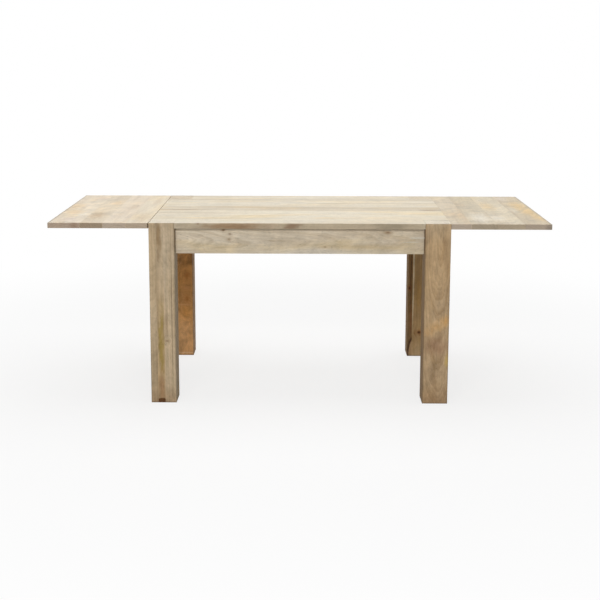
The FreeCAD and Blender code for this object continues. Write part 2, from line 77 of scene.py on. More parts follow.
# %% [markdown]
# ## Camera
#
# The photograph was taken from in front of the table, a little above it, with a longish lens.
# A camera could be placed by eye, but then every knot below would sit a little beside its place.
# So its place, turn and focal length were found by fitting a camera to the table's corners.
# The lens's axis lies above the middle of the picture, which a small shift gives.

# %% Camera
IMAGE_SIDE = 600
FOCAL_PIXELS = 1126.2
AXIS_ROW = 225
SENSOR_WIDTH = 36.0
CAMERA_PLACE = (0.0256, -4.7967, 1.4556)
CAMERA_YAW, CAMERA_PITCH, CAMERA_ROLL = 0.0056, -0.1626, -0.0027

camera_data = bpy.data.cameras.new("camera")
camera_data.sensor_width = SENSOR_WIDTH
camera_data.lens = FOCAL_PIXELS / IMAGE_SIDE * SENSOR_WIDTH
camera_data.shift_y = (AXIS_ROW - IMAGE_SIDE / 2) / IMAGE_SIDE
camera = bpy.data.objects.new("camera", camera_data)
look_ahead = Matrix.Rotation(math.pi / 2, 4, "X")
turn = Matrix.Rotation(CAMERA_YAW, 4, "Z") @ Matrix.Rotation(CAMERA_PITCH, 4, "X")
turn = turn @ Matrix.Rotation(CAMERA_ROLL, 4, "Y")
camera.matrix_world = Matrix.Translation(CAMERA_PLACE) @ turn @ look_ahead
bpy.context.scene.collection.objects.link(camera)
bpy.context.scene.camera = camera
bpy.context.scene.view_settings.view_transform = "Standard"
print(f"lens {camera_data.lens:.1f} mm, shift {camera_data.shift_y:.3f}")

# %% [markdown]
# ## Writing node trees as formulas
#
# A procedural material is a formula drawn as boxes and wires. It could be drawn by hand in the shader
# editor, or written with a line for every box and every wire. The small classes below make one box with
# all its wires at a time, so that each line reads like a line of the formula. Inputs are given by name or
# number: a socket is wired, and a plain number is set.

# %% A helper for node trees
class Graph:
    """Adds wired nodes to one tree."""

    def __init__(self, tree):
        self.tree = tree

    def add(self, kind, inputs=None, out=0, **settings):
        """Makes a node and gives back one of its outputs."""
        made = self.tree.nodes.new(kind)
        for name, setting in settings.items():
            setattr(made, name, setting)
        for key, value in (inputs or {}).items():
            self.feed(made.inputs[key], value)
        return made.outputs[out] if made.outputs else None

    def feed(self, socket, value):
        """Wires one socket or several into an input, or sets a plain value there."""
        if isinstance(value, (bpy.types.NodeSocket, list)):
            for source in value if isinstance(value, list) else [value]:
                self.tree.links.new(source, socket)
        else:
            socket.default_value = value

    def math(self, operation, *values):
        return self.add("ShaderNodeMath", dict(enumerate(values)), operation=operation)

    def plus(self, first, *others):
        for other in others:
            first = self.math("ADD", first, other)
        return first

    def minus(self, first, second):
        return self.math("SUBTRACT", first, second)

    def times(self, first, second):
        return self.math("MULTIPLY", first, second)

    def vector(self, operation, *values):
        return self.add("ShaderNodeVectorMath", dict(enumerate(values)), operation=operation)

    def parts(self, vector):
        """The three numbers of a vector, by letter or number."""
        return self.add("ShaderNodeSeparateXYZ", {0: vector}).node.outputs


print("trees can be written as formulas")


# %% Noise, fades and mixtures
class Formula(Graph):
    """A tree for shaders."""

    def noise(self, place, stretch, detail, out=0, distortion=0.0):
        """Noise whose cells are 1 / stretch metres long each way."""
        inputs = {"Vector": self.vector("MULTIPLY", place, stretch), "Scale": 1.0, "Detail": detail}
        return self.add("ShaderNodeTexNoise", inputs | {"Distortion": distortion}, out)

    def length(self, vector):
        return self.add("ShaderNodeVectorMath", {0: vector}, 1, operation="LENGTH")

    def scaled(self, vector, factor):
        return self.add("ShaderNodeVectorMath", {0: vector, "Scale": factor}, operation="SCALE")

    def fade(self, value, start, end):
        """0 at start, 1 at end, and smooth between; start may be the larger one."""
        inputs = {"Value": value, "From Min": start, "From Max": end}
        return self.add("ShaderNodeMapRange", inputs, interpolation_type="SMOOTHSTEP")

    def mix(self, share, first, second):
        """A colour between two others."""
        return self.add("ShaderNodeMix", {"Factor": share, 6: first, 7: second}, 2, data_type="RGBA")


def shade(red, green, blue):
    """A colour as picked on a screen, 0 to 255, made linear for a shader."""
    linear = [((c / 255 + 0.055) / 1.055) ** 2.4 for c in (red, green, blue)]
    return (*linear, 1.0)


print(f"half way on a screen is {shade(128, 128, 128)[0]:.2f} of full light")


# %% A material as a formula
class Finish(Formula):
    """The tree of one new material."""

    def __init__(self, name):
        self.material = bpy.data.materials.new(name)
        self.material.use_nodes = True
        self.material.node_tree.nodes.clear()
        super().__init__(self.material.node_tree)

    def place(self):
        """Where a point lies in the table's frame, in metres."""
        return self.add("ShaderNodeTexCoord", out="Object")

    def bump(self, height, strength, distance):
        return self.add("ShaderNodeBump", {"Strength": strength, "Distance": distance, "Height": height})

    def coat(self, **sockets):
        """The shader for wood, metal and plastic; base_color stands for its Base Color socket."""
        return self.add("ShaderNodeBsdfPrincipled", {
            name.replace("_", " ").title().replace("Ior", "IOR"): value for name, value in sockets.items()
        })

    def cover(self, surface):
        """Ends the formula and gives the material back."""
        self.add("ShaderNodeOutputMaterial", {"Surface": surface})
        return self.material


print("materials start as empty trees")

# %% [markdown]
# ## Light
#
# The photograph has the even light of a studio: bright from above, softer from the front, on a white
# background. One strong sun would draw hard shadows, and a bright sky alone would draw hardly any. So a
# broad lamp hangs overhead and one stands in front, and a weak one behind and a pale sky fill the
# shadows. The two low lamps are given no reflection, as a polarising filter does, so that the top doesn't
# glare.

# %% Lamps
LAMPS = {
    "overhead_lamp": dict(
        place=(0.0, 0.5, 3.4), target=(0.0, 0.5, 0.0), size=(5.0, 2.8), power=88, reflected=True),
    "front_lamp": dict(
        place=(-0.4, -4.7, 3.0), target=(0.0, 0.0, 0.5), size=(4.0, 0.8), power=112, reflected=False),
    "rear_lamp": dict(
        place=(0.4, 4.7, 1.8), target=(0.0, 0.0, 0.5), size=(4.0, 1.4), power=35, reflected=False),
}


def add_lamp(name, place, target, size, power, reflected):
    data = bpy.data.lights.new(name, "AREA")
    data.shape = "RECTANGLE"
    data.size, data.size_y = size
    data.energy = power
    lamp = bpy.data.objects.new(name, data)
    lamp.location = place
    lamp.rotation_euler = (Vector(target) - Vector(place)).to_track_quat("-Z", "Y").to_euler()
    lamp.visible_glossy = reflected
    bpy.context.scene.collection.objects.link(lamp)


for name, lamp in LAMPS.items():
    add_lamp(name, **lamp)
print(f"{len(LAMPS)} lamps, {sum(lamp['power'] for lamp in LAMPS.values())} W in all")

# %% Sky
WHITE = (1.0, 1.0, 1.0, 1.0)
SKY_STRENGTH = 0.15


def seen_share(g):
    """1 for rays that show a surface, straight or by reflection, and 0 for light that bounces."""
    path = g.tree.nodes.new("ShaderNodeLightPath").outputs
    seen = g.plus(path["Is Camera Ray"], path["Is Glossy Ray"], path["Is Transmission Ray"])
    return g.math("MINIMUM", seen, 1.0)


world = bpy.data.worlds.new("studio")
world.use_nodes = True
world.node_tree.nodes.clear()
g = Graph(world.node_tree)
strength = g.plus(g.times(seen_share(g), 1.0 - SKY_STRENGTH), SKY_STRENGTH)
background = g.add("ShaderNodeBackground", {"Color": WHITE, "Strength": strength})
g.add("ShaderNodeOutputWorld", {"Surface": background})
bpy.context.scene.world = world
print(f"sky: white to look at, {SKY_STRENGTH} as a light")

# %% [markdown]
# ## Floor
#
# The floor is pale and keeps the table's soft shadow. A curved backdrop could hide where it ends. Here it
# is one large flat sheet that fades into the white of the sky far from the table, because that looks
# right from every side. The fade is a glow that only the camera and reflections see, so that it lights
# nothing. From below the floor is clear, so that the fittings under the top can be looked at.

# %% Floor
FLOOR_HALF = 30.0
FLOOR_COLOUR = (0.95, 0.95, 0.95, 1.0)
GLOW_NEAR = 0.78
FADE_START, FADE_END = 1.0, 3.0

floor_mesh = bpy.data.meshes.new("floor")
corners = [(x * FLOOR_HALF, y * FLOOR_HALF, 0.0) for x, y in ((-1, -1), (1, -1), (1, 1), (-1, 1))]
floor_mesh.from_pydata(corners, [], [(0, 1, 2, 3)])
floor = bpy.data.objects.new("floor", floor_mesh)
bpy.context.scene.collection.objects.link(floor)

g = Finish("pale_floor")
far = g.fade(g.length(g.place()), FADE_START, FADE_END)
glowing = g.plus(g.times(far, 1.0 - GLOW_NEAR), GLOW_NEAR)
lit = g.add("ShaderNodeBsdfDiffuse", {"Color": FLOOR_COLOUR})
glow = g.add("ShaderNodeEmission", {"Color": WHITE, "Strength": 1.0})
surface = g.add("ShaderNodeMixShader", {0: g.times(glowing, seen_share(g)), 1: lit, 2: glow})
from_below = g.add("ShaderNodeNewGeometry", out="Backfacing")
clear = g.add("ShaderNodeBsdfTransparent")
surface = g.add("ShaderNodeMixShader", {0: from_below, 1: surface, 2: clear})
floor_mesh.materials.append(g.cover(surface))
print(f"floor: {2 * FLOOR_HALF:.0f} m wide, white from {FADE_END:.0f} m out")

# %% [markdown]
# ## Wood that has grown
#
# Mango wood is a pale tan with broad wavy rings, grey or brown streaks, patches of gold and fine open
# pores. A flat pattern could be laid on each face, but it would look printed, because real grain runs
# through the board and comes out at its end. So the pattern here fills space: each board carries an
# attribute called grain, which says where every corner of the board lay in the tree, measured from the
# heart of the trunk. Rings are then circles round the heart, pores are thin threads along it, and end
# grain appears by itself where a board is cut across.

# %% Rings
RIM_START, RIM = 0.1, 0.85
FAINTEST_RING = 0.2
FINE_RINGS = 3.0
RING_WEIGHT = 0.6


def late_wood(g, count):
    """Dark towards the rim of each ring, some rings more than others; count is the ring's number."""
    within = g.math("FRACT", count)
    rim = g.times(g.fade(within, RIM_START, RIM), g.fade(within, 1.0, RIM))
    strong = g.add("ShaderNodeTexWhiteNoise", {"W": g.math("FLOOR", count)}, noise_dimensions="1D")
    return g.times(rim, g.plus(g.times(strong, 1.0 - FAINTEST_RING), FAINTEST_RING))


def rings_of(g, grain, spacing):
    """Broad zones of growth, each with fine rings in it."""
    parts = g.parts(grain)
    squares = g.plus(g.math("POWER", parts["Y"], 2.0), g.math("POWER", parts["Z"], 2.0))
    count = g.math("DIVIDE", g.math("SQRT", squares), spacing)
    fine = late_wood(g, g.times(count, FINE_RINGS))
    return g.times(g.plus(late_wood(g, count), fine), RING_WEIGHT)


print(f"rings: broad zones with {FINE_RINGS:.0f} fine rings in each")

# %% Noise in the trunk
# For each pattern: cells of noise to the metre along the fibres, the same across them, and levels of detail
CELLS = {
    "sway": (1.4, 9.0, 2.0),
    "ripple": (9.0, 50.0, 3.0),
    "stain": (0.8, 22.0, 4.0),
    "line": (2.2, 110.0, 3.0),
    "warm": (2.4, 10.0, 3.0),
    "figure": (17.0, 10.0, 3.0),
    "mottle": (38.0, 62.0, 3.0),
    "fibre": (9.0, 420.0, 2.0),
    "pore": (75.0, 950.0, 0.0),
}


def trunk_noise(g, place, pattern, **settings):
    along, across, detail = CELLS[pattern]
    return g.noise(place, (along, across, across), detail, **settings)


def bent(g, place, grain, pattern, reach):
    """A place pushed aside by noise."""
    push = g.vector("SUBTRACT", trunk_noise(g, grain, pattern, out=1), (0.5, 0.5, 0.5))
    return g.vector("ADD", place, g.vector("MULTIPLY", push, reach))


def about_zero(g, value):
    return g.minus(value, 0.5)


print(f"{len(CELLS)} kinds of noise, the finest {1000 / CELLS['pore'][1]:.1f} mm across")

# %% Patterns in the trunk
SWAY = (0.2, 0.036, 0.036)
RIPPLE = (0.02, 0.006, 0.006)
FIGURE_LEAN = 0.6
FIGURE_CURL, MOTTLE_CURL = 0.8, 1.2
# Between which values of its noise a pattern sets in
STAIN_FROM, WARM_FROM, PORE_FROM = (0.48, 0.70), (0.47, 0.68), (0.66, 0.80)


def grow(g, grain, ring_spacing):
    """Every pattern of the wood at a place in the trunk."""
    # The trunk wasn't straight: slow noise sways the rings along it, and quick noise ripples them
    swayed = bent(g, grain, grain, "sway", SWAY)
    rippled = bent(g, swayed, grain, "ripple", RIPPLE)
    # The figure is the play of light where fibres lean to and fro
    leaning = g.add("ShaderNodeMapping", {"Vector": swayed, "Rotation": (0.0, 0.0, FIGURE_LEAN)})
    return {
        "rings": rings_of(g, rippled, ring_spacing),
        "stain": g.fade(trunk_noise(g, swayed, "stain"), *STAIN_FROM),
        "line": about_zero(g, trunk_noise(g, rippled, "line")),
        "warm": g.fade(trunk_noise(g, swayed, "warm"), *WARM_FROM),
        "figure": about_zero(g, trunk_noise(g, leaning, "figure", distortion=FIGURE_CURL)),
        "mottle": about_zero(g, trunk_noise(g, leaning, "mottle", distortion=MOTTLE_CURL)),
        "fibre": about_zero(g, trunk_noise(g, grain, "fibre")),
        "pore": g.fade(trunk_noise(g, grain, "pore"), *PORE_FROM),
    }


print(f"the figure leans by {math.degrees(FIGURE_LEAN):.0f} degrees")

# %% Colour and light of the grain
END_COVER = 0.85
END_CALM = 0.7
FIBRE_LIGHT, PORE_DARK, ARC_DARK, WORN_LIGHT = 0.2, 0.28, 0.22, 0.05


def grain_colour(g, given, grown):
    """The tones of the wood, laid over each other."""
    colour = g.mix(g.times(grown["rings"], given["Ring Depth"]), given["Pale"], given["Dark"])
    colour = g.mix(g.times(grown["warm"], given["Warm Amount"]), colour, given["Warm"])
    colour = g.mix(g.times(grown["stain"], given["Stain Amount"]), colour, given["Stain"])
    return g.mix(g.times(given["End Face"], END_COVER), colour, given["End Tone"])


def grain_light(g, given, grown):
    """How much lighter or darker than its tone each place is."""
    figure = g.times(grown["figure"], given["Figure"])
    streak = g.times(grown["line"], given["Streak"])
    light = g.plus(figure, streak, g.times(grown["mottle"], given["Mottle"]))
    # Figure hardly shows on end grain
    light = g.times(light, g.minus(1.0, g.times(given["End Face"], END_CALM)))
    light = g.plus(light, g.times(grown["fibre"], FIBRE_LIGHT), 1.0)
    light = g.minus(light, g.times(grown["pore"], PORE_DARK))
    # Where the board is cut across, the rings come out as dark arcs
    arcs = g.times(grown["rings"], given["End Face"])
    light = g.minus(light, g.times(arcs, ARC_DARK))
    return g.plus(light, g.times(given["Worn Edge"], WORN_LIGHT))


print(f"end grain takes {END_COVER:.0%} of its own tone")

# %% Roughness and height of the grain
BASE_ROUGH, PORE_ROUGH, FIGURE_ROUGH, END_ROUGH = 0.46, 0.2, 0.15, 0.14
FIBRE_HEIGHT, RING_HEIGHT = 0.5, 0.25


def grain_roughness(g, given, grown):
    rough = g.plus(g.times(grown["pore"], PORE_ROUGH), g.times(grown["figure"], FIGURE_ROUGH))
    return g.plus(rough, g.times(given["End Face"], END_ROUGH), given["Sheen Loss"], BASE_ROUGH)


def grain_height(g, grown):
    """Fibres stand up, and pores and late wood lie lower."""
    height = g.minus(g.times(grown["fibre"], FIBRE_HEIGHT), grown["pore"])
    return g.minus(height, g.times(grown["rings"], RING_HEIGHT))


print(f"plain wood has a roughness of {BASE_ROUGH}")

# %% The grain group
GRAIN_COLOURS = ("Pale", "Dark", "Stain", "Warm", "End Tone")
GRAIN_AMOUNTS = {
    "Ring Spacing": 0.009, "Ring Depth": 0.75, "Stain Amount": 0.6, "Warm Amount": 0.55, "Figure": 0.3,
    "Streak": 0.3, "Mottle": 0.2, "Sheen Loss": 0.0, "End Face": 0.0, "Worn Edge": 0.0,
}
GRAIN_RESULTS = {"Colour": "Color", "Light": "Float", "Roughness": "Float", "Height": "Float"}


def build_grain_group():
    tree = bpy.data.node_groups.new("mango_grain", "ShaderNodeTree")
    tree.interface.new_socket("Grain", in_out="INPUT", socket_type="NodeSocketVector")
    for name in GRAIN_COLOURS:
        tree.interface.new_socket(name, in_out="INPUT", socket_type="NodeSocketColor").default_value = WHITE
    for name, start in GRAIN_AMOUNTS.items():
        tree.interface.new_socket(name, in_out="INPUT", socket_type="NodeSocketFloat").default_value = start
    for name, kind in GRAIN_RESULTS.items():
        tree.interface.new_socket(name, in_out="OUTPUT", socket_type=f"NodeSocket{kind}")
    g = Formula(tree)
    given = tree.nodes.new("NodeGroupInput").outputs
    made = tree.nodes.new("NodeGroupOutput").inputs
    grown = grow(g, given["Grain"], given["Ring Spacing"])
    g.feed(made["Colour"], grain_colour(g, given, grown))
    g.feed(made["Light"], grain_light(g, given, grown))
    g.feed(made["Roughness"], grain_roughness(g, given, grown))
    g.feed(made["Height"], grain_height(g, grown))
    return tree


grain_group = build_grain_group()
print(f"grain group: {len(grain_group.nodes)} nodes")

# %% [markdown]
# ## Marks
#
# Knots, heartwood and stained patches are what makes one board known from the next. They could be painted
# on an image, but an image covers one face, and a real mark goes round the edge and into the wood. So
# each mark is a soft-edged ellipsoid in space, given by its centre and its reach along X, Y and Z in
# metres. Noise frays its edge, longest along the grain, so that it looks grown and not painted. The light
# and dark of the fibres is laid over the marks, so that the grain runs on through them.

# %% Marks
FRAY = 1.2


class Mark:
    """A stained place in a board: its colour, how strong, how soft its edge is and how frayed."""

    def __init__(self, centre, reach, colour, strength, soft=1.0, fray=FRAY, on_ends=False):
        self.centre, self.reach, self.colour = centre, reach, colour
        self.strength, self.soft, self.fray, self.on_ends = strength, soft, fray, on_ends

    def share(self, g, place, ragged, side):
        """How far a place is stained; side is low on end grain, where most marks stay faint."""
        away = g.vector("DIVIDE", g.vector("SUBTRACT", place, self.centre), self.reach)
        frayed = g.plus(g.length(away), g.times(ragged, self.fray))
        stained = g.fade(frayed, 1.0, 1.0 - self.soft)
        if not self.on_ends:
            stained = g.times(stained, side)
        return g.times(stained, self.strength)


def on_face(axis, face, depth, on_ends=False):
    """A maker of marks on one flat side, where centre and reach have two numbers each."""

    def whole(pair, part):
        return (*pair[:axis], part, *pair[axis:])

    def mark(centre, reach, colour, strength, soft=1.0, fray=FRAY, deep=depth):
        return Mark(whole(centre, face), whole(reach, deep), colour, strength, soft, fray, on_ends)

    return mark


print(f"the edge of a mark is frayed by up to {FRAY / 2:.1f} of its reach each way")

# %% [markdown]
# ## Knots
#
# A knot is the root of a branch. Two marks draw it, a brown halo and a dark core. That alone would look
# like a spot of paint, because the fibres of a real board part round a knot as a stream does round a
# stone. So a knot also pushes the grain away from itself before any pattern is read.

# %% Knots
X, Y, Z = range(3)
HALO_SIZE, HALO_STRENGTH = 2.2, 0.6
PARTING_SIZE, PARTING_PUSH = 5.0, 0.8


def enlarged(reach, factor):
    return tuple(factor * part for part in reach)


class Knot:
    """A dark core in a wider brown halo, with grain that parts round it."""

    def __init__(self, centre, reach, strength=0.9, halo=(158, 128, 96), core=(112, 82, 56)):
        self.centre, self.reach, self.strength = centre, reach, strength
        self.halo, self.core = halo, core

    def marks(self):
        wide = enlarged(self.reach, HALO_SIZE)
        around = Mark(self.centre, wide, self.halo, HALO_STRENGTH * self.strength)
        return [around, Mark(self.centre, self.reach, self.core, self.strength)]

    def part(self, g, grain, place, fibre):
        """The grain, pushed away from the knot; fibre is the axis of the fibres."""
        away = g.vector("SUBTRACT", place, self.centre)
        near = g.fade(g.length(g.vector("DIVIDE", away, enlarged(self.reach, PARTING_SIZE))), 1.0, 0.0)
        push = g.parts(g.scaled(away, g.times(near, PARTING_PUSH)))
        order = [fibre, *(axis for axis in (X, Y, Z) if axis != fibre)]
        pushed = g.add("ShaderNodeCombineXYZ", {slot: push[axis] for slot, axis in enumerate(order)})
        return g.vector("SUBTRACT", grain, pushed)


print(f"grain parts round a knot out to {PARTING_SIZE:.0f} times its size")

# %% [markdown]
# ## A wood finish
#
# The table has a satin finish that shows the grain and hardly fills the pores. Every board could have the
# same material. Here one function makes a material from the shared grain group, a set of tones and a list
# of marks, because boards of one tree still differ.

# %% A wood finish
RAGGED_CELLS = (24.0, 95.0, 95.0)
END_MARK_LOSS = 0.85
GRAIN_BUMP, GRAIN_DEPTH = 0.25, 0.0006


def attribute(g, name, out):
    return g.add("ShaderNodeAttribute", out=out, attribute_name=name)


def set_grain(g, group, grain, end_face, tones, amounts):
    """Feeds the grain group with what a board carries, its colours and its amounts."""
    g.feed(group.inputs["Grain"], grain)
    g.feed(group.inputs["End Face"], end_face)
    g.feed(group.inputs["Worn Edge"], attribute(g, "worn_edge", 2))
    for tone, colour in tones.items():
        g.feed(group.inputs[tone], shade(*colour))
    for amount, value in amounts.items():
        g.feed(group.inputs[amount.replace("_", " ").title()], value)


def wood(name, tones, marks=(), knots=(), fibre=X, gloss=0.25, **amounts):
    """A satin wood: tones are the colours of the grain group's sockets, and amounts its numbers."""
    g = Finish(name)
    place = g.place()
    grain = attribute(g, "grain", 1)
    for knot in knots:
        grain = knot.part(g, grain, place, fibre)
    end_face = attribute(g, "end_face", 2)
    group = g.tree.nodes.new("ShaderNodeGroup")
    group.node_tree = grain_group
    set_grain(g, group, grain, end_face, tones, amounts)
    colour = group.outputs["Colour"]
    ragged = about_zero(g, g.noise(grain, RAGGED_CELLS, 4.0))
    side = g.minus(1.0, g.times(end_face, END_MARK_LOSS))
    for mark in [*marks, *(mark for knot in knots for mark in knot.marks())]:
        colour = g.mix(mark.share(g, place, ragged, side), colour, shade(*mark.colour))
    return g.cover(g.coat(
        base_color=g.scaled(colour, group.outputs["Light"]),
        roughness=group.outputs["Roughness"],
        normal=g.bump(group.outputs["Height"], GRAIN_BUMP, GRAIN_DEPTH),
        specular_ior_level=gloss,
    ))


print(f"a wood finish has {len(GRAIN_COLOURS)} tones and {len(GRAIN_AMOUNTS)} amounts")

# %% [markdown]
# ## Boards
#
# Nearly every piece of a table starts as a board: sawn square, drilled, grooved, and eased with
# sandpaper. A board could be drawn anew as a box, but the CAD model already holds each one with its
# grooves, notches and bores. So a board here starts as a copy of its node. Its triangles are merged into
# whole faces, its long edges are rounded, which catches the light, and the copy then stands for the node.

# %% Copies and their edges
MERGE_REACH = 1e-6
SHARP_ANGLE = 1.0
SAME_PLACE = 1e-5


def merged(node):
    """A copy of a CAD node whose loose triangles are joined at their corners."""
    bm = bmesh.new()
    bm.from_mesh(frame["nodes"][node].data)
    bmesh.ops.remove_doubles(bm, verts=bm.verts, dist=MERGE_REACH)
    return bm


def sharp_edges(bm, shortest):
    convex = [edge for edge in bm.edges if edge.is_convex and edge.calc_face_angle() > SHARP_ANGLE]
    return [edge for edge in convex if edge.calc_length() > shortest]


def lies_in(edge, axis, place):
    return all(abs(vertex.co[axis] - place) < SAME_PLACE for vertex in edge.verts)


def round_edges(bm, edges, radius):
    bmesh.ops.bevel(
        bm, geom=edges, offset=radius, segments=2, profile=0.5, affect="EDGES", clamp_overlap=True)


print(f"edges count as sharp past {math.degrees(SHARP_ANGLE):.0f} degrees")

# %% Stock with eased edges
OUTER_ROUND = 0.0016
OUTER_SHORTEST = 0.01
EASED_FROM = 6
FLAT_ANGLE = math.radians(0.5)


def stock(node, easing, outer=()):
    """One clean shell, rounder on its outer sides, given as axis and place.

    Its other edges are eased where they are longer than EASED_FROM times the easing.
    """
    bm = merged(node)
    bmesh.ops.dissolve_limit(bm, angle_limit=FLAT_ANGLE, verts=bm.verts, edges=bm.edges)
    long_edges = sharp_edges(bm, OUTER_SHORTEST)
    shown = [edge for edge in long_edges if any(lies_in(edge, axis, place) for axis, place in outer)]
    round_edges(bm, shown, OUTER_ROUND)
    round_edges(bm, sharp_edges(bm, EASED_FROM * easing), easing)
    return bm


def to_object(name, bm):
    mesh = bpy.data.meshes.new(name)
    bm.to_mesh(mesh)
    bm.free()
    made = bpy.data.objects.new(name, mesh)
    bpy.context.scene.collection.objects.link(made)
    return made


print(f"outer edges are rounded by {OUTER_ROUND * 1000:.1f} mm")

# %% [markdown]
# ## Laying the grain
#
# A board's look depends on where it was cut. Straight lines come from a board sawn far to the side of the
# heart, and nested arches from one sawn just over it, because the trunk leans and the saw does not. Each
# board could have its own pattern. It is simpler to keep one trunk and note how each board lay in it: a
# Log holds the place of the heart from the board's middle, which length of the trunk, and the lean.

# %% Logs
class Log:
    """How a board lay in the tree."""

    def __init__(self, heart, stretch, lean=(0.0, 0.0)):
        self.heart, self.stretch, self.lean = heart, stretch, lean

    def grain(self, point, fibre):
        """Where a point lay in the tree: it is given from the board's middle, and fibre is an axis."""
        across, through = [axis for axis in (X, Y, Z) if axis != fibre]
        along = point[fibre]
        return (
            along + self.stretch,
            point[across] - self.heart[0] - along * self.lean[0],
            point[through] - self.heart[1] - along * self.lean[1],
        )


print("a point half a metre along a board:", Log((0.0, -0.1), 2.0).grain((0.5, 0.0, 0.0), X))

# %% Grain attributes
END_SLOPE = 0.8
FLAT_SLOPE = 0.95


def piece_box(piece):
    places = [vertex.co for vertex in piece.data.vertices]
    low = Vector([min(place[axis] for place in places) for axis in (X, Y, Z)])
    high = Vector([max(place[axis] for place in places) for axis in (X, Y, Z)])
    return low, high


def store(mesh, name, kind, field, values):
    """Writes one value for each face corner of a mesh."""
    mesh.attributes.new(name, kind, "CORNER").data.foreach_set(field, values)


def lay_grain(piece, fibre, logs, stave_of=lambda face: 0):
    """Stores where each face's corners lay in the tree, which faces are cut across, and which are worn."""
    mesh = piece.data
    low, high = piece_box(piece)
    middle = (low + high) / 2
    grain, end, worn = [], [], []
    for face in mesh.polygons:
        log = logs[stave_of(face)]
        for vertex in face.vertices:
            grain.extend(log.grain(mesh.vertices[vertex].co - middle, fibre))
            end.append(float(abs(face.normal[fibre]) > END_SLOPE))
            worn.append(float(max(abs(part) for part in face.normal) < FLAT_SLOPE))
    store(mesh, "grain", "FLOAT_VECTOR", "vector", grain)
    store(mesh, "end_face", "FLOAT", "value", end)
    store(mesh, "worn_edge", "FLOAT", "value", worn)


print("boards carry grain, end_face and worn_edge")

# %% One board in the place of its node
GLUED_EASING = 0.0003


def settle(piece, node):
    """Puts a finished piece on its body, in the place of its node."""
    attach(piece, body_of[node])
    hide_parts(node)


def make_board(node, fibre, log, material, easing=GLUED_EASING, outer=()):
    piece = to_object(f"{node}_wood", stock(node, easing, outer))
    piece.data.materials.append(material)
    lay_grain(piece, fibre, [log])
    settle(piece, node)


print(f"glued boards are eased by {GLUED_EASING * 1000:.1f} mm")

# %% [markdown]
# ## The top
#
# Seven boards run along the table, with grain that runs their whole length. The outer two end at the
# legs. In the photograph the middle board is duller and greyer than the rest, and a dark strip of
# heartwood shows on the front edge, because the front board was sawn near the heart. One finish for all
# would look like a printed sheet. So all but the middle board share a set of tones, each a colour of the
# wood itself, and the boards differ in their logs and in their marks, which lie where the photograph
# shows them.

# %% Tones of the top
def tinted(tones, red, green, blue):
    """A set of tones with its colours scaled, all but that of the end grain."""
    scaled = {key: (r * red, g * green, b * blue) for key, (r, g, b) in tones.items()}
    return scaled | {"End Tone": tones["End Tone"]}


TOP = {
    "Pale": (222, 212, 191), "Dark": (202, 187, 159), "Stain": (190, 172, 142), "Warm": (224, 201, 152),
    "End Tone": (196, 178, 150),
}
DULL_TOP = {
    "Pale": (206, 193, 169), "Dark": (186, 169, 140), "Stain": (168, 148, 116), "Warm": (208, 184, 140),
    "End Tone": (186, 168, 140),
}
FRONT_TOP = tinted(TOP, 0.985, 0.985, 0.985)
REAR_TOP = tinted(TOP, 0.975, 0.975, 0.98)
HEARTWOOD = (150, 120, 88)
GOLD = (222, 194, 140)
TOP_LOOK = {"gloss": 0.45, "ring_depth": 0.55, "warm_amount": 0.65, "figure": 0.4, "mottle": 0.25}
CALM_TOP = TOP_LOOK | {"ring_depth": 0.4, "stain_amount": 0.3}
REAR_LOOK = TOP_LOOK | {"warm_amount": 0.5}
print(f"the middle board is {DULL_TOP['Pale'][0] / TOP['Pale'][0]:.0%} as light as its neighbours")

# %% Front boards of the top
TOP_FACE = cad_box[1][Z]
FRONT_FACE, REAR_FACE = cad_box[0][Y], cad_box[1][Y]
FRONT_EDGE = FRONT_FACE - 0.002
on_top = on_face(Z, TOP_FACE, 0.03)
on_edge = on_face(Y, FRONT_EDGE, 0.01)

front_board = wood("front_top_board", FRONT_TOP, [
    on_top((0.32, -0.34), (0.34, 0.08), GOLD, 0.25),
    on_edge((0.0, 0.729), (0.75, 0.03), (184, 167, 140), 0.9, 0.35, 0.2, deep=0.012),
    on_edge((-0.25, 0.727), (0.20, 0.036), (158, 129, 97), 0.85, 0.8, 0.9, deep=0.012),
    on_edge((-0.27, 0.727), (0.12, 0.016), (142, 110, 77), 0.5),
    on_edge((-0.03, 0.729), (0.055, 0.024), (134, 106, 80), 0.85, 0.9),
    on_edge((-0.11, 0.730), (0.045, 0.018), (190, 169, 143), 0.7),
    on_edge((0.36, 0.729), (0.13, 0.024), (146, 133, 111), 0.75),
], [Knot((-0.403, FRONT_EDGE, 0.738), (0.007, 0.01, 0.005))], **CALM_TOP)
second_board = wood("second_top_board", FRONT_TOP, [
    on_top((0.32, -0.26), (0.34, 0.08), GOLD, 0.3),
    on_top((0.114, -0.256), (0.10, 0.022), GOLD, 0.6, deep=0.02),
], **CALM_TOP)
third_board = wood("third_top_board", TOP, [
    on_top((-0.092, -0.18), (0.10, 0.018), GOLD, 0.6, deep=0.02),
], **TOP_LOOK)
print("finishes:", front_board.name, second_board.name, third_board.name)

# %% Middle and rear boards of the top
middle_board = wood("middle_top_board", DULL_TOP, [
    on_top((-0.50, -0.04), (0.14, 0.022), HEARTWOOD, 0.8, deep=0.02),
    on_top((0.55, -0.04), (0.08, 0.024), HEARTWOOD, 0.8, deep=0.02),
], stain_amount=0.75, **TOP_LOOK)
plain_board = wood("plain_top_board", REAR_TOP, **REAR_LOOK)
rear_board = wood("rear_top_board", REAR_TOP, [
    on_top((0.39, 0.395), (0.18, 0.014), HEARTWOOD, 0.6, 0.8),
], **REAR_LOOK)
print("finishes:", middle_board.name, plain_board.name, rear_board.name)

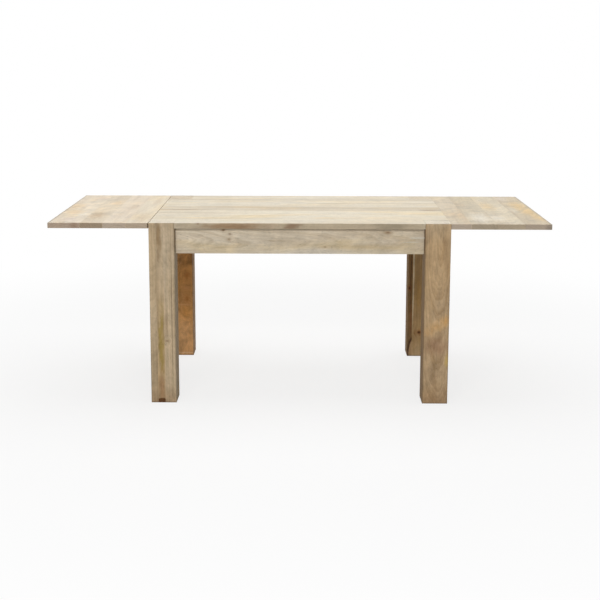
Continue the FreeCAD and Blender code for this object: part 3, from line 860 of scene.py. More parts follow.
# %% Lay the top
FRONT, REAR = (Y, FRONT_FACE), (Y, REAR_FACE)
TOP_BOARDS = {
    "top_board_front": (front_board, Log((0.03, -0.06), 2.0, (0.03, 0.02)), [FRONT]),
    "top_board_1": (second_board, Log((-0.05, -0.12), 5.0, (0.02, 0.03)), []),
    "top_board_2": (third_board, Log((0.10, -0.05), 9.0, (-0.02, 0.03)), []),
    "top_board_3": (middle_board, Log((-0.02, -0.07), 13.0, (0.01, 0.03)), []),
    "top_board_4": (plain_board, Log((0.04, -0.10), 17.0, (0.03, -0.02)), []),
    "top_board_5": (plain_board, Log((-0.10, -0.06), 21.0, (-0.01, 0.03)), []),
    "top_board_rear": (rear_board, Log((0.02, -0.08), 25.0, (0.02, 0.02)), [REAR]),
}
for node, (material, log, outer) in TOP_BOARDS.items():
    make_board(node, X, log, material, outer=outer)
print(f"{len(TOP_BOARDS)} top boards")

# %% [markdown]
# ## The leaves
#
# A leaf's four boards run across the table, so their end grain shows along the front as a row of blocks.
# Their tones differ more than those of the top, and soft clouds of amber, honey and pearl lie over many
# of them. Eight sets of tones would be hard to keep in tune. So one set is tinted, warmer or darker, for
# each board, and only its end has a tone of its own. Painted shade darkens the outer edges, and a line of
# painted shade shows at the front where the left leaf stands a little off the top.

# %% Tones of the leaves
LEAF = {
    "Pale": (220, 207, 183), "Dark": (200, 183, 154), "Stain": (188, 166, 136), "Warm": (222, 200, 160),
    "End Tone": (166, 146, 126),
}
CALM_LEAF = {
    "gloss": 0.45, "ring_depth": 0.3, "warm_amount": 0.5,
    "figure": 0.25, "mottle": 0.12, "stain_amount": 0.35,
}
SOFT_LEAF = CALM_LEAF | {"figure": 0.5, "streak": 0.2}
CLOUDY_LEAF = SOFT_LEAF | {"figure": 0.9}
# A dark brown for painted shade
SHADE = (92, 72, 48)
TAN = (186, 160, 124)
AMBER = (221, 187, 134)
HONEY = (214, 182, 122)
PEARL = (222, 215, 200)
LEFT_END, RIGHT_END = cad_box[0][X], cad_box[1][X]
on_end = on_face(Y, FRONT_FACE, 0.01, on_ends=True)


def painted_leaf_edge_shade(x):
    """Painted shade along the outer edge of a leaf."""
    return on_top((x, 0.0), (0.012, 1.5), (146, 134, 116), 0.6, 0.6, 0.3, deep=0.016)


def leaf_wood(node, tint, end_tone, marks, knots=(), look=CLOUDY_LEAF):
    tones = tinted(LEAF, *tint) | {"End Tone": end_tone}
    return wood(f"{node}_finish", tones, marks, knots, Y, **look)


print(f"the leaves end at x = {LEFT_END:.4f} and {RIGHT_END:.4f} m")

# %% Left leaf
LEFT_LEAF = {
    "left_leaf_board_1": dict(tint=(1.0, 1.0, 1.0), end_tone=(184, 164, 142), look=CALM_LEAF, marks=[
        on_top((-0.645, -0.27), (0.05, 0.16), TAN, 0.4),
        on_top((-0.64, 0.20), (0.03, 0.14), TAN, 0.4),
        on_top((-0.64, 0.40), (0.07, 0.03), TAN, 0.6),
        # Painted shade in the gap where the left leaf stands off the top
        on_end((-0.602, 0.729), (0.0045, 0.03), SHADE, 0.9, 0.5, 0.2, deep=0.006),
    ]),
    "left_leaf_board_2": dict(tint=(1.01, 1.0, 1.005), end_tone=(186, 169, 151), look=SOFT_LEAF, marks=[
        on_top((-0.72, 0.02), (0.03, 0.10), TAN, 0.5),
    ], knots=[Knot((-0.709, 0.062, TOP_FACE), (0.008, 0.016, 0.02), 0.6)]),
    "left_leaf_board_3": dict(tint=(0.98, 0.965, 0.95), end_tone=(154, 133, 109), marks=[
        on_top((-0.836, -0.198), (0.05, 0.14), (182, 154, 114), 0.85),
        on_top((-0.813, 0.15), (0.04, 0.09), AMBER, 0.4),
    ]),
    "left_leaf_board_4": dict(tint=(1.0, 0.995, 1.0), end_tone=(180, 158, 138), marks=[
        on_top((-0.97, 0.055), (0.05, 0.11), AMBER, 0.45),
        on_top((-0.954, -0.11), (0.05, 0.08), AMBER, 0.4),
        on_top((-0.901, 0.31), (0.05, 0.09), (206, 182, 156), 0.6),
        on_top((-0.93, -0.31), (0.06, 0.09), (218, 202, 188), 0.6),
        on_top((-0.903, -0.18), (0.03, 0.06), PEARL, 0.6),
        on_end((-0.895, 0.729), (0.03, 0.04), (152, 120, 96), 0.6, 1.0, 0.4),
        painted_leaf_edge_shade(LEFT_END),
    ]),
}
print(f"left leaf: {sum(len(board['marks']) for board in LEFT_LEAF.values())} marks")

# %% Right leaf
RIGHT_LEAF = {
    "right_leaf_board_1": dict(tint=(0.925, 0.915, 0.90), end_tone=(189, 172, 154), marks=[
        on_top((0.650, -0.166), (0.05, 0.14), TAN, 0.5),
    ]),
    "right_leaf_board_2": dict(tint=(0.88, 0.87, 0.84), end_tone=(172, 156, 134), marks=[
        on_top((0.704, 0.126), (0.04, 0.13), TAN, 0.4),
        on_top((0.737, 0.280), (0.06, 0.18), (186, 170, 138), 0.6, 1.0, 0.8),
        on_top((0.745, -0.245), (0.075, 0.20), PEARL, 0.7, 1.0, 0.8),
    ]),
    "right_leaf_board_3": dict(tint=(0.94, 0.935, 0.915), end_tone=(183, 165, 140), marks=[
        on_top((0.813, 0.08), (0.05, 0.18), HONEY, 0.55, 1.0, 0.8),
        on_top((0.805, -0.240), (0.05, 0.12), PEARL, 0.6),
    ]),
    "right_leaf_board_4": dict(tint=(0.905, 0.885, 0.845), end_tone=(184, 167, 149), marks=[
        on_top((0.955, 0.10), (0.06, 0.18), HONEY, 0.8, 1.0, 0.8),
        on_top((0.970, -0.08), (0.055, 0.17), HONEY, 0.85, 1.0, 0.8),
        on_top((0.985, -0.24), (0.05, 0.14), HONEY, 0.7, 1.0, 0.8),
        on_top((0.910, 0.33), (0.05, 0.09), (210, 197, 184), 0.6),
        on_top((0.908, -0.02), (0.03, 0.12), (204, 194, 178), 0.6),
        on_end((0.990, 0.722), (0.03, 0.03), (118, 108, 98), 0.5, 1.0, 0.3),
        painted_leaf_edge_shade(RIGHT_END),
    ]),
}
print(f"right leaf: {sum(len(board['marks']) for board in RIGHT_LEAF.values())} marks")

# %% Lay the leaves
LEFT, RIGHT = (X, LEFT_END), (X, RIGHT_END)
for number, (node, board) in enumerate((LEFT_LEAF | RIGHT_LEAF).items()):
    heart = (0.05 * math.sin(2.4 * number), -0.05 - 0.03 * math.cos(1.7 * number))
    log = Log(heart, 30.0 + 3.0 * number, (0.05, 0.04))
    make_board(node, Y, log, leaf_wood(node, **board), outer=[FRONT, REAR, LEFT, RIGHT])
print(f"{len(LEFT_LEAF) + len(RIGHT_LEAF)} leaf boards")

# %% [markdown]
# ## The legs
#
# Each leg is glued up from three staves, which show as strips of different wood on two of its sides and
# as one wide face on the others. Three separate posts would do, but their edges would be eased where they
# meet. So a leg is cut at its glue lines after its edges are eased, and every stave gets its own log and
# a finish to suit it, which a few staves share. Three legs have painted shade on the side turned to the
# middle of the table, a thin line of painted shade runs round each foot, and painted shade darkens the
# outer edges of the front legs towards the foot. The end grain, sanded level with the top, is as pale as
# the top.

# %% Gluing up a leg
LEG_EASING = 0.0012


def make_leg(corner, axis, glue_lines, logs, finishes):
    """A leg whose staves lie side by side along an axis."""
    node = f"leg_{corner}"
    bm = stock(node, LEG_EASING)
    normal = Vector([float(part == axis) for part in (X, Y, Z)])
    for place in glue_lines:
        geometry = bm.verts[:] + bm.edges[:] + bm.faces[:]
        bmesh.ops.bisect_plane(
            bm, geom=geometry, dist=MERGE_REACH, plane_co=normal * place, plane_no=normal)
    piece = to_object(f"{node}_wood", bm)
    for finish in finishes:
        piece.data.materials.append(finish)

    def stave_of(face):
        return sum(face.center[axis] > place for place in glue_lines)

    for face in piece.data.polygons:
        face.material_index = stave_of(face)
    lay_grain(piece, Z, logs, stave_of)
    settle(piece, node)
    print(f"{node}: {len(finishes)} staves, {len(piece.data.polygons)} faces")


print(f"legs are eased by {LEG_EASING * 1000:.1f} mm")

# %% Tones of the legs
LEG = {
    "Pale": (196, 174, 142), "Dark": (170, 146, 112), "Stain": (156, 130, 96), "Warm": (197, 167, 121),
    "End Tone": (240, 232, 215),
}
REAR_LEG = LEG | {"End Tone": (228, 216, 195)}
MATT = {"gloss": 0.12, "sheen_loss": 0.25, "figure": 0.6, "streak": 0.5, "mottle": 0.35}
# Painted shade: a thin dark line round the bottom of each foot
painted_foot_shade = Mark((0.0, 0.0, 0.002), (3.0, 3.0, 0.008), (112, 94, 76), 0.6, 1.0, 0.2)
brown_foot = Mark((0.0, 0.0, 0.0), (3.0, 3.0, 0.10), (150, 116, 84), 0.45, 1.0, 0.6)
on_leg = on_face(Y, FRONT_FACE, 0.05)


def painted_inner_shade(x, y, colour):
    """Painted shade on the side of a leg turned to the middle of the table."""
    return Mark((x, y, 0.35), (0.004, 0.3, 1.5), colour, 0.8, 0.5, 0.2)


def painted_edge_shade(x, colour):
    """Painted shade along an outer edge of a front leg, darker towards the foot."""
    return on_leg((x, 0.05), (0.006, 0.7), colour, 0.6, 1.0, 0.2, deep=0.012)


print(f"rear legs have end grain at {REAR_LEG['End Tone'][0] / LEG['End Tone'][0]:.0%} of the front ones")

# %% Front left leg
OLIVE = (160, 136, 74)
bleached = on_leg((-0.55, 0.66), (0.20, 0.34), (200, 184, 160), 0.6, 1.0, 0.6, deep=0.20)
side_stave = wood("front_left_side_stave", LEG, [
    on_leg((-0.585, 0.34), (0.06, 0.16), (208, 186, 154), 0.6, 1.0, 0.6, deep=0.06),
    brown_foot, painted_foot_shade, painted_edge_shade(-0.600, (128, 114, 94)),
], stain_amount=0.35, **MATT)
middle_stave = wood("front_left_middle_stave", tinted(LEG, 1.0, 0.98, 0.95), [
    bleached, brown_foot, painted_foot_shade,
    on_leg((-0.556, 0.25), (0.017, 0.21), OLIVE, 0.85, 0.9, 1.4),
    on_leg((-0.557, 0.07), (0.018, 0.09), (166, 120, 80), 0.55, 0.9, 0.8),
    on_leg((-0.561, 0.68), (0.017, 0.15), (140, 111, 71), 0.7, 1.0, 1.4),
    on_leg((-0.557, 0.0), (0.03, 0.024), (98, 64, 38), 0.95, 0.25, 0.2, deep=0.06),
], **MATT)
inner_stave = wood("front_left_inner_stave", tinted(LEG, 1.05, 1.06, 1.08), [
    bleached, brown_foot, painted_foot_shade, painted_inner_shade(-0.498, -0.35, (152, 136, 112)),
    on_leg((-0.533, 0.33), (0.009, 0.10), (150, 122, 92), 0.5, deep=0.02),
    on_leg((-0.512, 0.37), (0.003, 0.50), (124, 100, 74), 0.7, 1.0, 0.3),
], [Knot((-0.533, FRONT_FACE, 0.259), (0.010, 0.02, 0.006), 0.7)], Z, **MATT)
make_leg(
    "front_left", X, (-0.5711, -0.5427),
    [Log((0.10, 0.03), 60.0), Log((-0.08, 0.05), 62.0), Log((0.12, -0.02), 64.0)],
    [side_stave, middle_stave, inner_stave],
)

# %% Front right leg
on_plank = on_face(Y, FRONT_FACE, 0.03)
# Painted shade on the side of the leg turned to the middle of the table
front_right_inner_shade = painted_inner_shade(0.498, -0.35, (135, 112, 84))
brown_stave = wood("brown_stave", tinted(LEG, 0.94, 0.88, 0.80), [painted_foot_shade, front_right_inner_shade], **MATT)
front_plank = wood("front_right_plank", tinted(LEG, 0.985, 0.955, 0.93), [
    on_plank((0.55, 0.75), (0.09, 0.11), (204, 182, 150), 0.6, 1.0, 0.6),
    on_plank((0.545, 0.245), (0.085, 0.058), (148, 112, 86), 0.65),
    on_plank((0.583, 0.346), (0.032, 0.034), (204, 158, 98), 0.75),
    on_plank((0.548, 0.322), (0.042, 0.030), (202, 160, 106), 0.65),
    on_plank((0.516, 0.297), (0.038, 0.026), (198, 158, 110), 0.55),
    on_plank((0.594, 0.185), (0.015, 0.042), (196, 166, 96), 0.8),
    brown_foot, painted_foot_shade, front_right_inner_shade, painted_edge_shade(0.600, (118, 102, 78)),
], warm_amount=0.25, ring_depth=1.0, **MATT)
make_leg(
    "front_right", Y, (-0.366, -0.332),
    [Log((0.01, 0.005), 86.95, (0.0, -0.10)), Log((0.02, 0.06), 68.0), Log((-0.03, -0.06), 70.0)],
    [front_plank, brown_stave, brown_stave],
)

# %% Rear left leg
CURLY = MATT | {"figure": 1.2, "mottle": 0.4}
RUST = (146, 86, 38)
on_rear_plank = on_face(Y, 0.30, 0.06)
# Painted shade on the side of the leg turned to the middle of the table
rear_left_inner_shade = painted_inner_shade(-0.498, 0.35, (150, 122, 94))
rear_stave = wood("rear_brown_stave", tinted(REAR_LEG, 0.94, 0.88, 0.80), [painted_foot_shade, rear_left_inner_shade], **MATT)
pale_tones = tinted(REAR_LEG, 0.98, 0.94, 0.88)
pale_stave = wood("rear_pale_stave", pale_tones, [painted_foot_shade, rear_left_inner_shade], ring_depth=1.0, **MATT)
rusty_knots = [
    Knot((-0.525, 0.30, height), (0.013, 0.03, 0.024), 0.5, RUST, RUST) for height in (0.374, 0.270)
]
rear_plank = wood("rear_left_plank", tinted(REAR_LEG, 1.03, 0.88, 0.70), [
    # The first mark paints the apron's shadow over the top of the plank, and the second paints its foot
    # paler
    on_rear_plank((-0.55, 0.62), (0.15, 0.30), (122, 88, 56), 0.7, 1.0, 1.0),
    on_rear_plank((-0.55, 0.05), (0.15, 0.26), (222, 176, 128), 0.6, 1.0, 1.0),
    on_rear_plank((-0.525, 0.325), (0.032, 0.026), (204, 150, 98), 0.5, 1.0, 1.0),
    on_rear_plank((-0.530, 0.205), (0.05, 0.060), (200, 138, 64), 0.5, 1.0, 1.0),
    on_rear_plank((-0.535, 0.244), (0.06, 0.006), (210, 160, 108), 0.5, 1.0, 0.5),
    on_rear_plank((-0.55, 0.014), (0.15, 0.005), (232, 204, 170), 0.5, 1.0, 0.3),
    painted_foot_shade, rear_left_inner_shade,
], rusty_knots, Z, warm_amount=0.7, ring_depth=1.0, **CURLY)
make_leg(
    "rear_left", Y, (0.332, 0.366),
    [Log((0.01, 0.09), 72.0, (0.0, 0.25)), Log((0.02, 0.06), 74.0), Log((-0.01, -0.02), 76.0, (0.0, 0.08))],
    [rear_plank, rear_stave, pale_stave],
)

# %% Rear right leg
on_dark = on_face(Y, 0.298, 0.05)
on_light = on_face(Y, 0.30, 0.05)
dark_stave = wood("rear_right_dark_stave", tinted(REAR_LEG, 0.70, 0.63, 0.54), [
    on_dark((0.510, 0.45), (0.004, 0.26), (70, 46, 30), 0.7),
    on_dark((0.513, 0.17), (0.009, 0.11), (122, 76, 44), 0.6, 1.0, 0.8),
    on_dark((0.519, 0.0), (0.024, 0.110), (64, 40, 25), 0.9, 0.3, 0.4),
    on_dark((0.519, 0.0), (0.017, 0.084), (196, 162, 122), 0.9, 0.3, 0.4),
    painted_foot_shade,
], [Knot((0.504, 0.298, 0.326), (0.006, 0.03, 0.009), 0.8, RUST, (60, 38, 24))], Z, **MATT)
light_stave = wood("rear_right_light_stave", tinted(REAR_LEG, 0.90, 0.84, 0.74), [
    on_light((0.545, 0.0), (0.06, 0.10), (206, 178, 140), 0.7, 1.0, 1.0),
    on_light((0.543, 0.31), (0.022, 0.12), (182, 142, 80), 0.55, 1.0, 1.0),
    on_light((0.521, 0.45), (0.007, 0.37), (222, 204, 172), 0.9, 0.5, 0.2),
    painted_foot_shade,
], [Knot((0.551, 0.30, 0.116), (0.014, 0.03, 0.010), 1.0, RUST, (70, 46, 28))], Z, **MATT)
make_leg(
    "rear_right", X, (0.519, 0.565),
    [Log((0.10, 0.03), 78.0), Log((-0.08, 0.05), 80.0), Log((0.12, -0.02), 82.0)],
    [dark_stave, light_stave, rear_stave],
)

# %% [markdown]
# ## The aprons
#
# The aprons are single boards on edge that tie the legs together. The front one was sawn over the heart,
# so that its face shows arches. It has small knots, most of them near its left end, and a paler streak
# low down. The lamps' shadows leave the lines where the apron meets the legs and the top too faint, so
# thin dark marks paint shade on the apron there.

# %% Marks of the front apron
APRON_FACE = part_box("apron_front")[0][Y]
on_apron = on_face(Y, APRON_FACE, 0.01)
BLEACHED = (216, 214, 204)
# Painted shade: dark lines under the top's overhang and where the apron meets the legs
joint_shade = [
    on_apron((0.0, 0.718), (0.80, 0.010), SHADE, 0.6, 1.0, 0.3),
    on_apron((-0.498, 0.666), (0.005, 0.20), SHADE, 0.8, 0.8, 0.2),
    on_apron((0.498, 0.666), (0.005, 0.20), SHADE, 0.8, 0.8, 0.2),
]
apron_marks = [
    on_apron((0.351, 0.701), (0.036, 0.011), (172, 150, 120), 0.6),
    on_apron((-0.10, 0.666), (0.085, 0.003), (158, 132, 96), 0.6, 1.0, 1.6),
    on_apron((0.47, 0.680), (0.06, 0.005), BLEACHED, 0.6, 1.0, 1.6),
    on_apron((0.44, 0.662), (0.06, 0.004), BLEACHED, 0.5, 1.0, 1.6),
    on_apron((0.18, 0.620), (0.45, 0.024), PEARL, 0.5, 1.0, 0.8),
]
apron_knots = [
    Knot((-0.304, APRON_FACE, 0.709), (0.010, 0.01, 0.006)),
    Knot((-0.279, APRON_FACE, 0.694), (0.009, 0.01, 0.005), 0.6),
    Knot((-0.282, APRON_FACE, 0.672), (0.007, 0.01, 0.005), 0.45),
    Knot((0.351, APRON_FACE, 0.702), (0.013, 0.01, 0.006), 0.6),
    Knot((0.101, APRON_FACE, 0.642), (0.007, 0.01, 0.003), 0.6),
]
print(f"front apron: {len(joint_shade + apron_marks)} marks and {len(apron_knots)} knots")

# %% Aprons
APRON = {
    "Pale": (221, 208, 186), "Dark": (195, 178, 152), "Stain": (183, 163, 136), "Warm": (219, 196, 148),
    "End Tone": (184, 164, 135),
}
APRON_EASING = 0.0015
APRON_LOOK = {
    "sheen_loss": 0.15, "figure": 0.45, "mottle": 0.25,
    "ring_depth": 0.9, "stain_amount": 0.4, "warm_amount": 0.7,
}
front_apron = wood("front_apron_finish", APRON, joint_shade + apron_marks, apron_knots, **APRON_LOOK)
plain_apron = wood("apron_finish", APRON, **APRON_LOOK)
make_board("apron_front", X, Log((0.06, 0.0), 102.0, (0.06, 0.0)), front_apron, APRON_EASING)
make_board("apron_rear", X, Log((-0.05, -0.02), 87.0, (0.02, 0.02)), plain_apron, APRON_EASING)
make_board("apron_left_end", Y, Log((0.04, 0.02), 90.0, (0.03, 0.01)), plain_apron, APRON_EASING)
make_board("apron_right_end", Y, Log((-0.04, -0.01), 93.0, (0.03, 0.01)), plain_apron, APRON_EASING)
print(f"4 aprons, eased by {APRON_EASING * 1000:.1f} mm")

# %% [markdown]
# ## Wood out of sight
#
# The rail, the arms, their keepers, the battens and the buttons are plainer wood, planed but not
# finished. They show from below, and the arms show when a leaf is off. A plain colour would do for what
# is hardly seen, but the same grain with duller tones costs little more, and it holds up when someone
# looks underneath.

# %% Rail, arms, keepers, battens and buttons
BARE = {
    "Pale": (206, 184, 148), "Dark": (184, 157, 118), "Stain": (172, 142, 102), "Warm": (206, 172, 122),
    "End Tone": (176, 148, 110),
}
PLANED_EASING, SMALL_EASING = 0.001, 0.0005
CORNERS = [(end, side) for end in ("left", "right") for side in ("front", "rear")]
bare_wood = wood("bare_wood", BARE, stain_amount=0.4, sheen_loss=0.25)
make_board("centre_rail", Y, Log((0.06, -0.03), 96.0, (0.02, 0.01)), bare_wood, PLANED_EASING)
for number, (end, side) in enumerate(CORNERS, 1):
    arm_log = Log((0.05, 0.02), 100.0 + 3 * number, (0.02, 0.01))
    make_board(f"{end}_arm_{side}", X, arm_log, bare_wood, PLANED_EASING)
    make_board(f"{end}_keeper_{side}", Y, Log((0.02, 0.07), 120.0 + 3 * number), bare_wood, SMALL_EASING)
    make_board(f"{end}_batten_{side}", X, Log((-0.04, 0.03), 140.0 + 3 * number), bare_wood, PLANED_EASING)
make_board("top_buttons", Y, Log((0.30, 0.05), 160.0), bare_wood, SMALL_EASING)
print(f"a rail, {len(CORNERS)} arms with keepers, {len(CORNERS)} battens, and the buttons")

# %% [markdown]
# ## Turned and repeated pieces
#
# Screws, bolts, nuts, washers and dowels repeat. Each could be copied by hand to its place, but Geometry
# Nodes make that one step: a tree draws one piece from its sizes, and sets it on every point with its own
# turn. The points come from the CAD node. Its separate solids are found by walking along their edges, and
# each one's line is the direction in which its points spread most, or least.

# %% Where the turned pieces lie
WIDE_SHARE = 0.8


def islands(node):
    """The separate solids of a CAD node, each as an array of its points in a fixed order."""
    bm = merged(node)
    waiting = set(bm.verts)
    solids = []
    while waiting:
        reached = [waiting.pop()]
        points = []
        while reached:
            vertex = reached.pop()
            points.append(tuple(vertex.co))
            beside = {edge.other_vert(vertex) for edge in vertex.link_edges} & waiting
            waiting -= beside
            reached.extend(beside)
        solids.append(np.array(sorted(points)))
    bm.free()
    return sorted(solids, key=lambda points: tuple(points.mean(0).round(4)))


def turned_line(points, slim):
    """A turned solid's start at its wider end, its direction and length; a slim one is long."""
    middle = points.mean(0)
    lines = np.linalg.eigh(np.cov((points - middle).T)).eigenvectors
    line = lines[:, -1 if slim else 0]
    along = (points - middle) @ line
    out = np.linalg.norm(points - middle - np.outer(along, line), axis=1)
    if along[out > WIDE_SHARE * out.max()].mean() > 0:
        line, along = -line, -along
    return middle + line * along.min(), line, float(along.max() - along.min())


print(f"{len(islands('hanger_bolts'))} hanger bolts found")

# %% [markdown]
# ## Solids inside a tree
#
# A screw is a few plain solids joined, and then cut where the driver goes in. It could be lathed from an
# outline, but a recess isn't round. So a tree gets rods and cones by their start and end along one line,
# and joins or cuts them with exact booleans, which leave one closed skin.

# %% Rods, cones and booleans
ROUND_SIDES = 24


def moved(g, shape, height):
    lift = g.add("ShaderNodeCombineXYZ", {"Z": height})
    return g.add("GeometryNodeTransform", {"Geometry": shape, "Translation": lift})


def rod(g, radius, start, end, sides=ROUND_SIDES):
    sizes = {"Vertices": sides, "Radius": radius, "Depth": g.minus(end, start)}
    return moved(g, g.add("GeometryNodeMeshCylinder", sizes), g.times(g.plus(start, end), 0.5))


def cone(g, first_radius, last_radius, start, end, sides=ROUND_SIDES):
    sizes = {"Vertices": sides, "Radius Bottom": first_radius, "Radius Top": last_radius}
    return moved(g, g.add("GeometryNodeMeshCone", sizes | {"Depth": g.minus(end, start)}), start)


def boolean(g, operation, inputs):
    return g.add("GeometryNodeMeshBoolean", inputs, operation=operation, solver="EXACT")


def joined(g, shapes):
    return boolean(g, "UNION", {1: shapes})


def cut(g, shape, cutters):
    return boolean(g, "DIFFERENCE", {0: shape, 1: cutters})


print(f"round pieces have {ROUND_SIDES} sides unless they need more")

# %% [markdown]
# ## Planting
#
# Screws are never turned the same way. Every tree therefore ends alike: its shape is set on each point,
# turned to the point's aim and by chance about it, from a fixed seed. The copies are then made real and
# given their finish, and the result replaces the live modifier, so that the piece is a plain mesh like
# any other.

# %% Trees that end in planted pieces
SEED = 7


def new_tree(name, sizes):
    """A geometry tree with named sizes, and its inputs."""
    tree = bpy.data.node_groups.new(name, "GeometryNodeTree")
    tree.is_modifier = True
    tree.interface.new_socket("Points", in_out="INPUT", socket_type="NodeSocketGeometry")
    for size, start in sizes.items():
        tree.interface.new_socket(size, in_out="INPUT", socket_type="NodeSocketFloat").default_value = start
    tree.interface.new_socket("Seed", in_out="INPUT", socket_type="NodeSocketInt").default_value = SEED
    tree.interface.new_socket("Finish", in_out="INPUT", socket_type="NodeSocketMaterial")
    tree.interface.new_socket("Pieces", in_out="OUTPUT", socket_type="NodeSocketGeometry")
    return Graph(tree), tree.nodes.new("NodeGroupInput").outputs


def plant(g, given, shape):
    """Ends a tree: one shape on every point, turned to its aim and by chance about it."""
    aim = g.add("GeometryNodeInputNamedAttribute", {"Name": "aim"}, data_type="FLOAT_VECTOR")
    turn = g.add("FunctionNodeAlignRotationToVector", {"Vector": aim}, axis="Z")
    chances = {2: 0.0, 3: math.tau, "Seed": given["Seed"]}
    chance = g.add("FunctionNodeRandomValue", chances, 1, data_type="FLOAT")
    twist = g.add("FunctionNodeAxisAngleToRotation", {"Axis": (0.0, 0.0, 1.0), "Angle": chance})
    turn = g.add("FunctionNodeRotateRotation", {0: turn, 1: twist}, rotation_space="LOCAL")
    planted = {"Points": given["Points"], "Instance": shape, "Rotation": turn}
    planted = g.add("GeometryNodeInstanceOnPoints", planted)
    real = g.add("GeometryNodeRealizeInstances", {"Geometry": planted})
    finished = g.add("GeometryNodeSetMaterial", {"Geometry": real, "Material": given["Finish"]})
    g.add("NodeGroupOutput", {0: finished})
    return g.tree


print(f"pieces are turned by chance, with seed {SEED}")

# %% Plain, smooth meshes
SMOOTH_ANGLE = math.radians(35)


def plain_mesh(piece):
    """Turns a piece's live modifiers into plain mesh."""
    depsgraph = bpy.context.evaluated_depsgraph_get()
    mesh = bpy.data.meshes.new_from_object(piece.evaluated_get(depsgraph))
    piece.modifiers.clear()
    piece.data = mesh


def smooth_turned_faces(piece):
    piece.data.polygons.foreach_set("use_smooth", [True] * len(piece.data.polygons))
    piece.data.set_sharp_from_angle(angle=SMOOTH_ANGLE)


print(f"edges of turned pieces look sharp past {math.degrees(SMOOTH_ANGLE):.0f} degrees")


# %% Planting a tree in the place of a node
def point_object(node, starts, aims):
    """Loose points, each with the direction in which its piece will lie."""
    mesh = bpy.data.meshes.new(f"{node}_points")
    mesh.from_pydata(starts, [], [])
    directions = np.array(aims, np.float32).ravel()
    mesh.attributes.new("aim", "FLOAT_VECTOR", "POINT").data.foreach_set("vector", directions)
    made = bpy.data.objects.new(f"{node}_made", mesh)
    bpy.context.scene.collection.objects.link(made)
    return made


def plant_on(node, tree, finish, slim=True, **sizes):
    """The pieces of one node, made by a tree."""
    starts, aims, lengths = zip(*(turned_line(points, slim) for points in islands(node)))
    piece = point_object(node, starts, aims)
    modifier = piece.modifiers.new("pieces", "NODES")
    modifier.node_group = tree
    values = {name.replace("_", " ").title(): size for name, size in sizes.items()}
    values |= {"Length": lengths[0], "Finish": finish}
    for socket in tree.interface.items_tree:
        if socket.in_out == "INPUT" and socket.name in values:
            modifier[socket.identifier] = values[socket.name]
    plain_mesh(piece)
    smooth_turned_faces(piece)
    settle(piece, node)
    print(f"{node}: {len(starts)} pieces, {len(piece.data.polygons)} faces")
    return piece


print(f"bracket screws to plant: {len(islands('bracket_screws'))}")

# %% [markdown]
# ## Zinc-plated steel
#
# The brackets, bolts, nuts, washers and screws are bright zinc. Plated steel is a metal with a soft gloss
# that isn't even: faint clouds dull it, and fine scratches cross it. One flat grey would look like
# plastic. So noise clouds the roughness and tints the colour a faint blue, and a finer noise scratches
# the surface.

# %% Zinc finish
CLOUD_CELLS = (90.0, 90.0, 90.0)
SCRATCH_CELLS = (300.0, 2200.0, 1400.0)
ZINC_ROUGH, CLOUD_ROUGH = 0.22, 0.3
SCRATCH_BUMP, SCRATCH_DEPTH = 0.15, 0.0002


def zinc_finish():
    g = Finish("zinc_steel")
    cloud = g.noise(g.place(), CLOUD_CELLS, 4.0)
    scratch = g.noise(g.place(), SCRATCH_CELLS, 1.0)
    return g.cover(g.coat(
        base_color=g.mix(cloud, shade(196, 198, 200), shade(168, 172, 178)),
        metallic=1.0,
        roughness=g.plus(g.times(cloud, CLOUD_ROUGH), ZINC_ROUGH),
        normal=g.bump(scratch, SCRATCH_BUMP, SCRATCH_DEPTH),
    ))


zinc = zinc_finish()
print(f"{zinc.name}: clouds {1000 / CLOUD_CELLS[0]:.0f} mm across")

# %% [markdown]
# ## Screws
#
# A pan head screw is a low cone on a shank that ends in a point, with a cross recess for the driver. The
# thread is in the wood, so it isn't drawn. The tree joins the solids and cuts the recess with two crossed
# bars, because then the driver's cross shows as real geometry at any distance.

# %% Screws
CROWN, CROSS_ARM, CROSS_SLIT = 0.74, 1.05, 0.24
HEAD_SIDES = 32
TIP_RADIUS, OVERLAP = 0.0002, 0.0001


def screw_tree():
    g, given = new_tree("pan_head_screw", {
        "Head Radius": 0.004, "Head Height": 0.0026, "Shank Radius": 0.002, "Length": 0.03, "Point": 0.004,
    })
    wide, shank, under_head = given["Head Radius"], given["Shank Radius"], given["Head Height"]
    point_start = g.minus(given["Length"], given["Point"])
    solids = [
        cone(g, g.times(wide, CROWN), wide, 0.0, under_head, HEAD_SIDES),
        rod(g, shank, g.times(under_head, 0.5), g.plus(point_start, OVERLAP)),
        cone(g, shank, TIP_RADIUS, point_start, given["Length"]),
    ]
    arm, slit = g.times(wide, CROSS_ARM), g.times(wide, CROSS_SLIT)
    bars = []
    for along, across in ((arm, slit), (slit, arm)):
        size = g.add("ShaderNodeCombineXYZ", {"X": along, "Y": across, "Z": under_head})
        bars.append(g.add("GeometryNodeMeshCube", {"Size": size}))
    return plant(g, given, cut(g, joined(g, solids), bars))


screws = screw_tree()
BATTEN_SCREWS = [f"{end}_batten_screws" for end in ("left", "right")]
for node in ("bracket_screws", "button_screws", "keeper_screws", *BATTEN_SCREWS):
    plant_on(node, screws, zinc)

# %% [markdown]
# ## Hanger bolts
#
# Two hanger bolts hold each leg to its bracket. One end goes into the leg, out of sight, and the other
# has a machine thread for the nut. A helix would wind the thread truly, with many faces that nobody sees.
# So the thread is a rod with two rings of points for each turn, every other ring pressed in.

# %% Hanger bolts
THREAD_ROOT = 0.85
BOLT_TIP, THREAD_OVERLAP = 0.0003, 0.0004


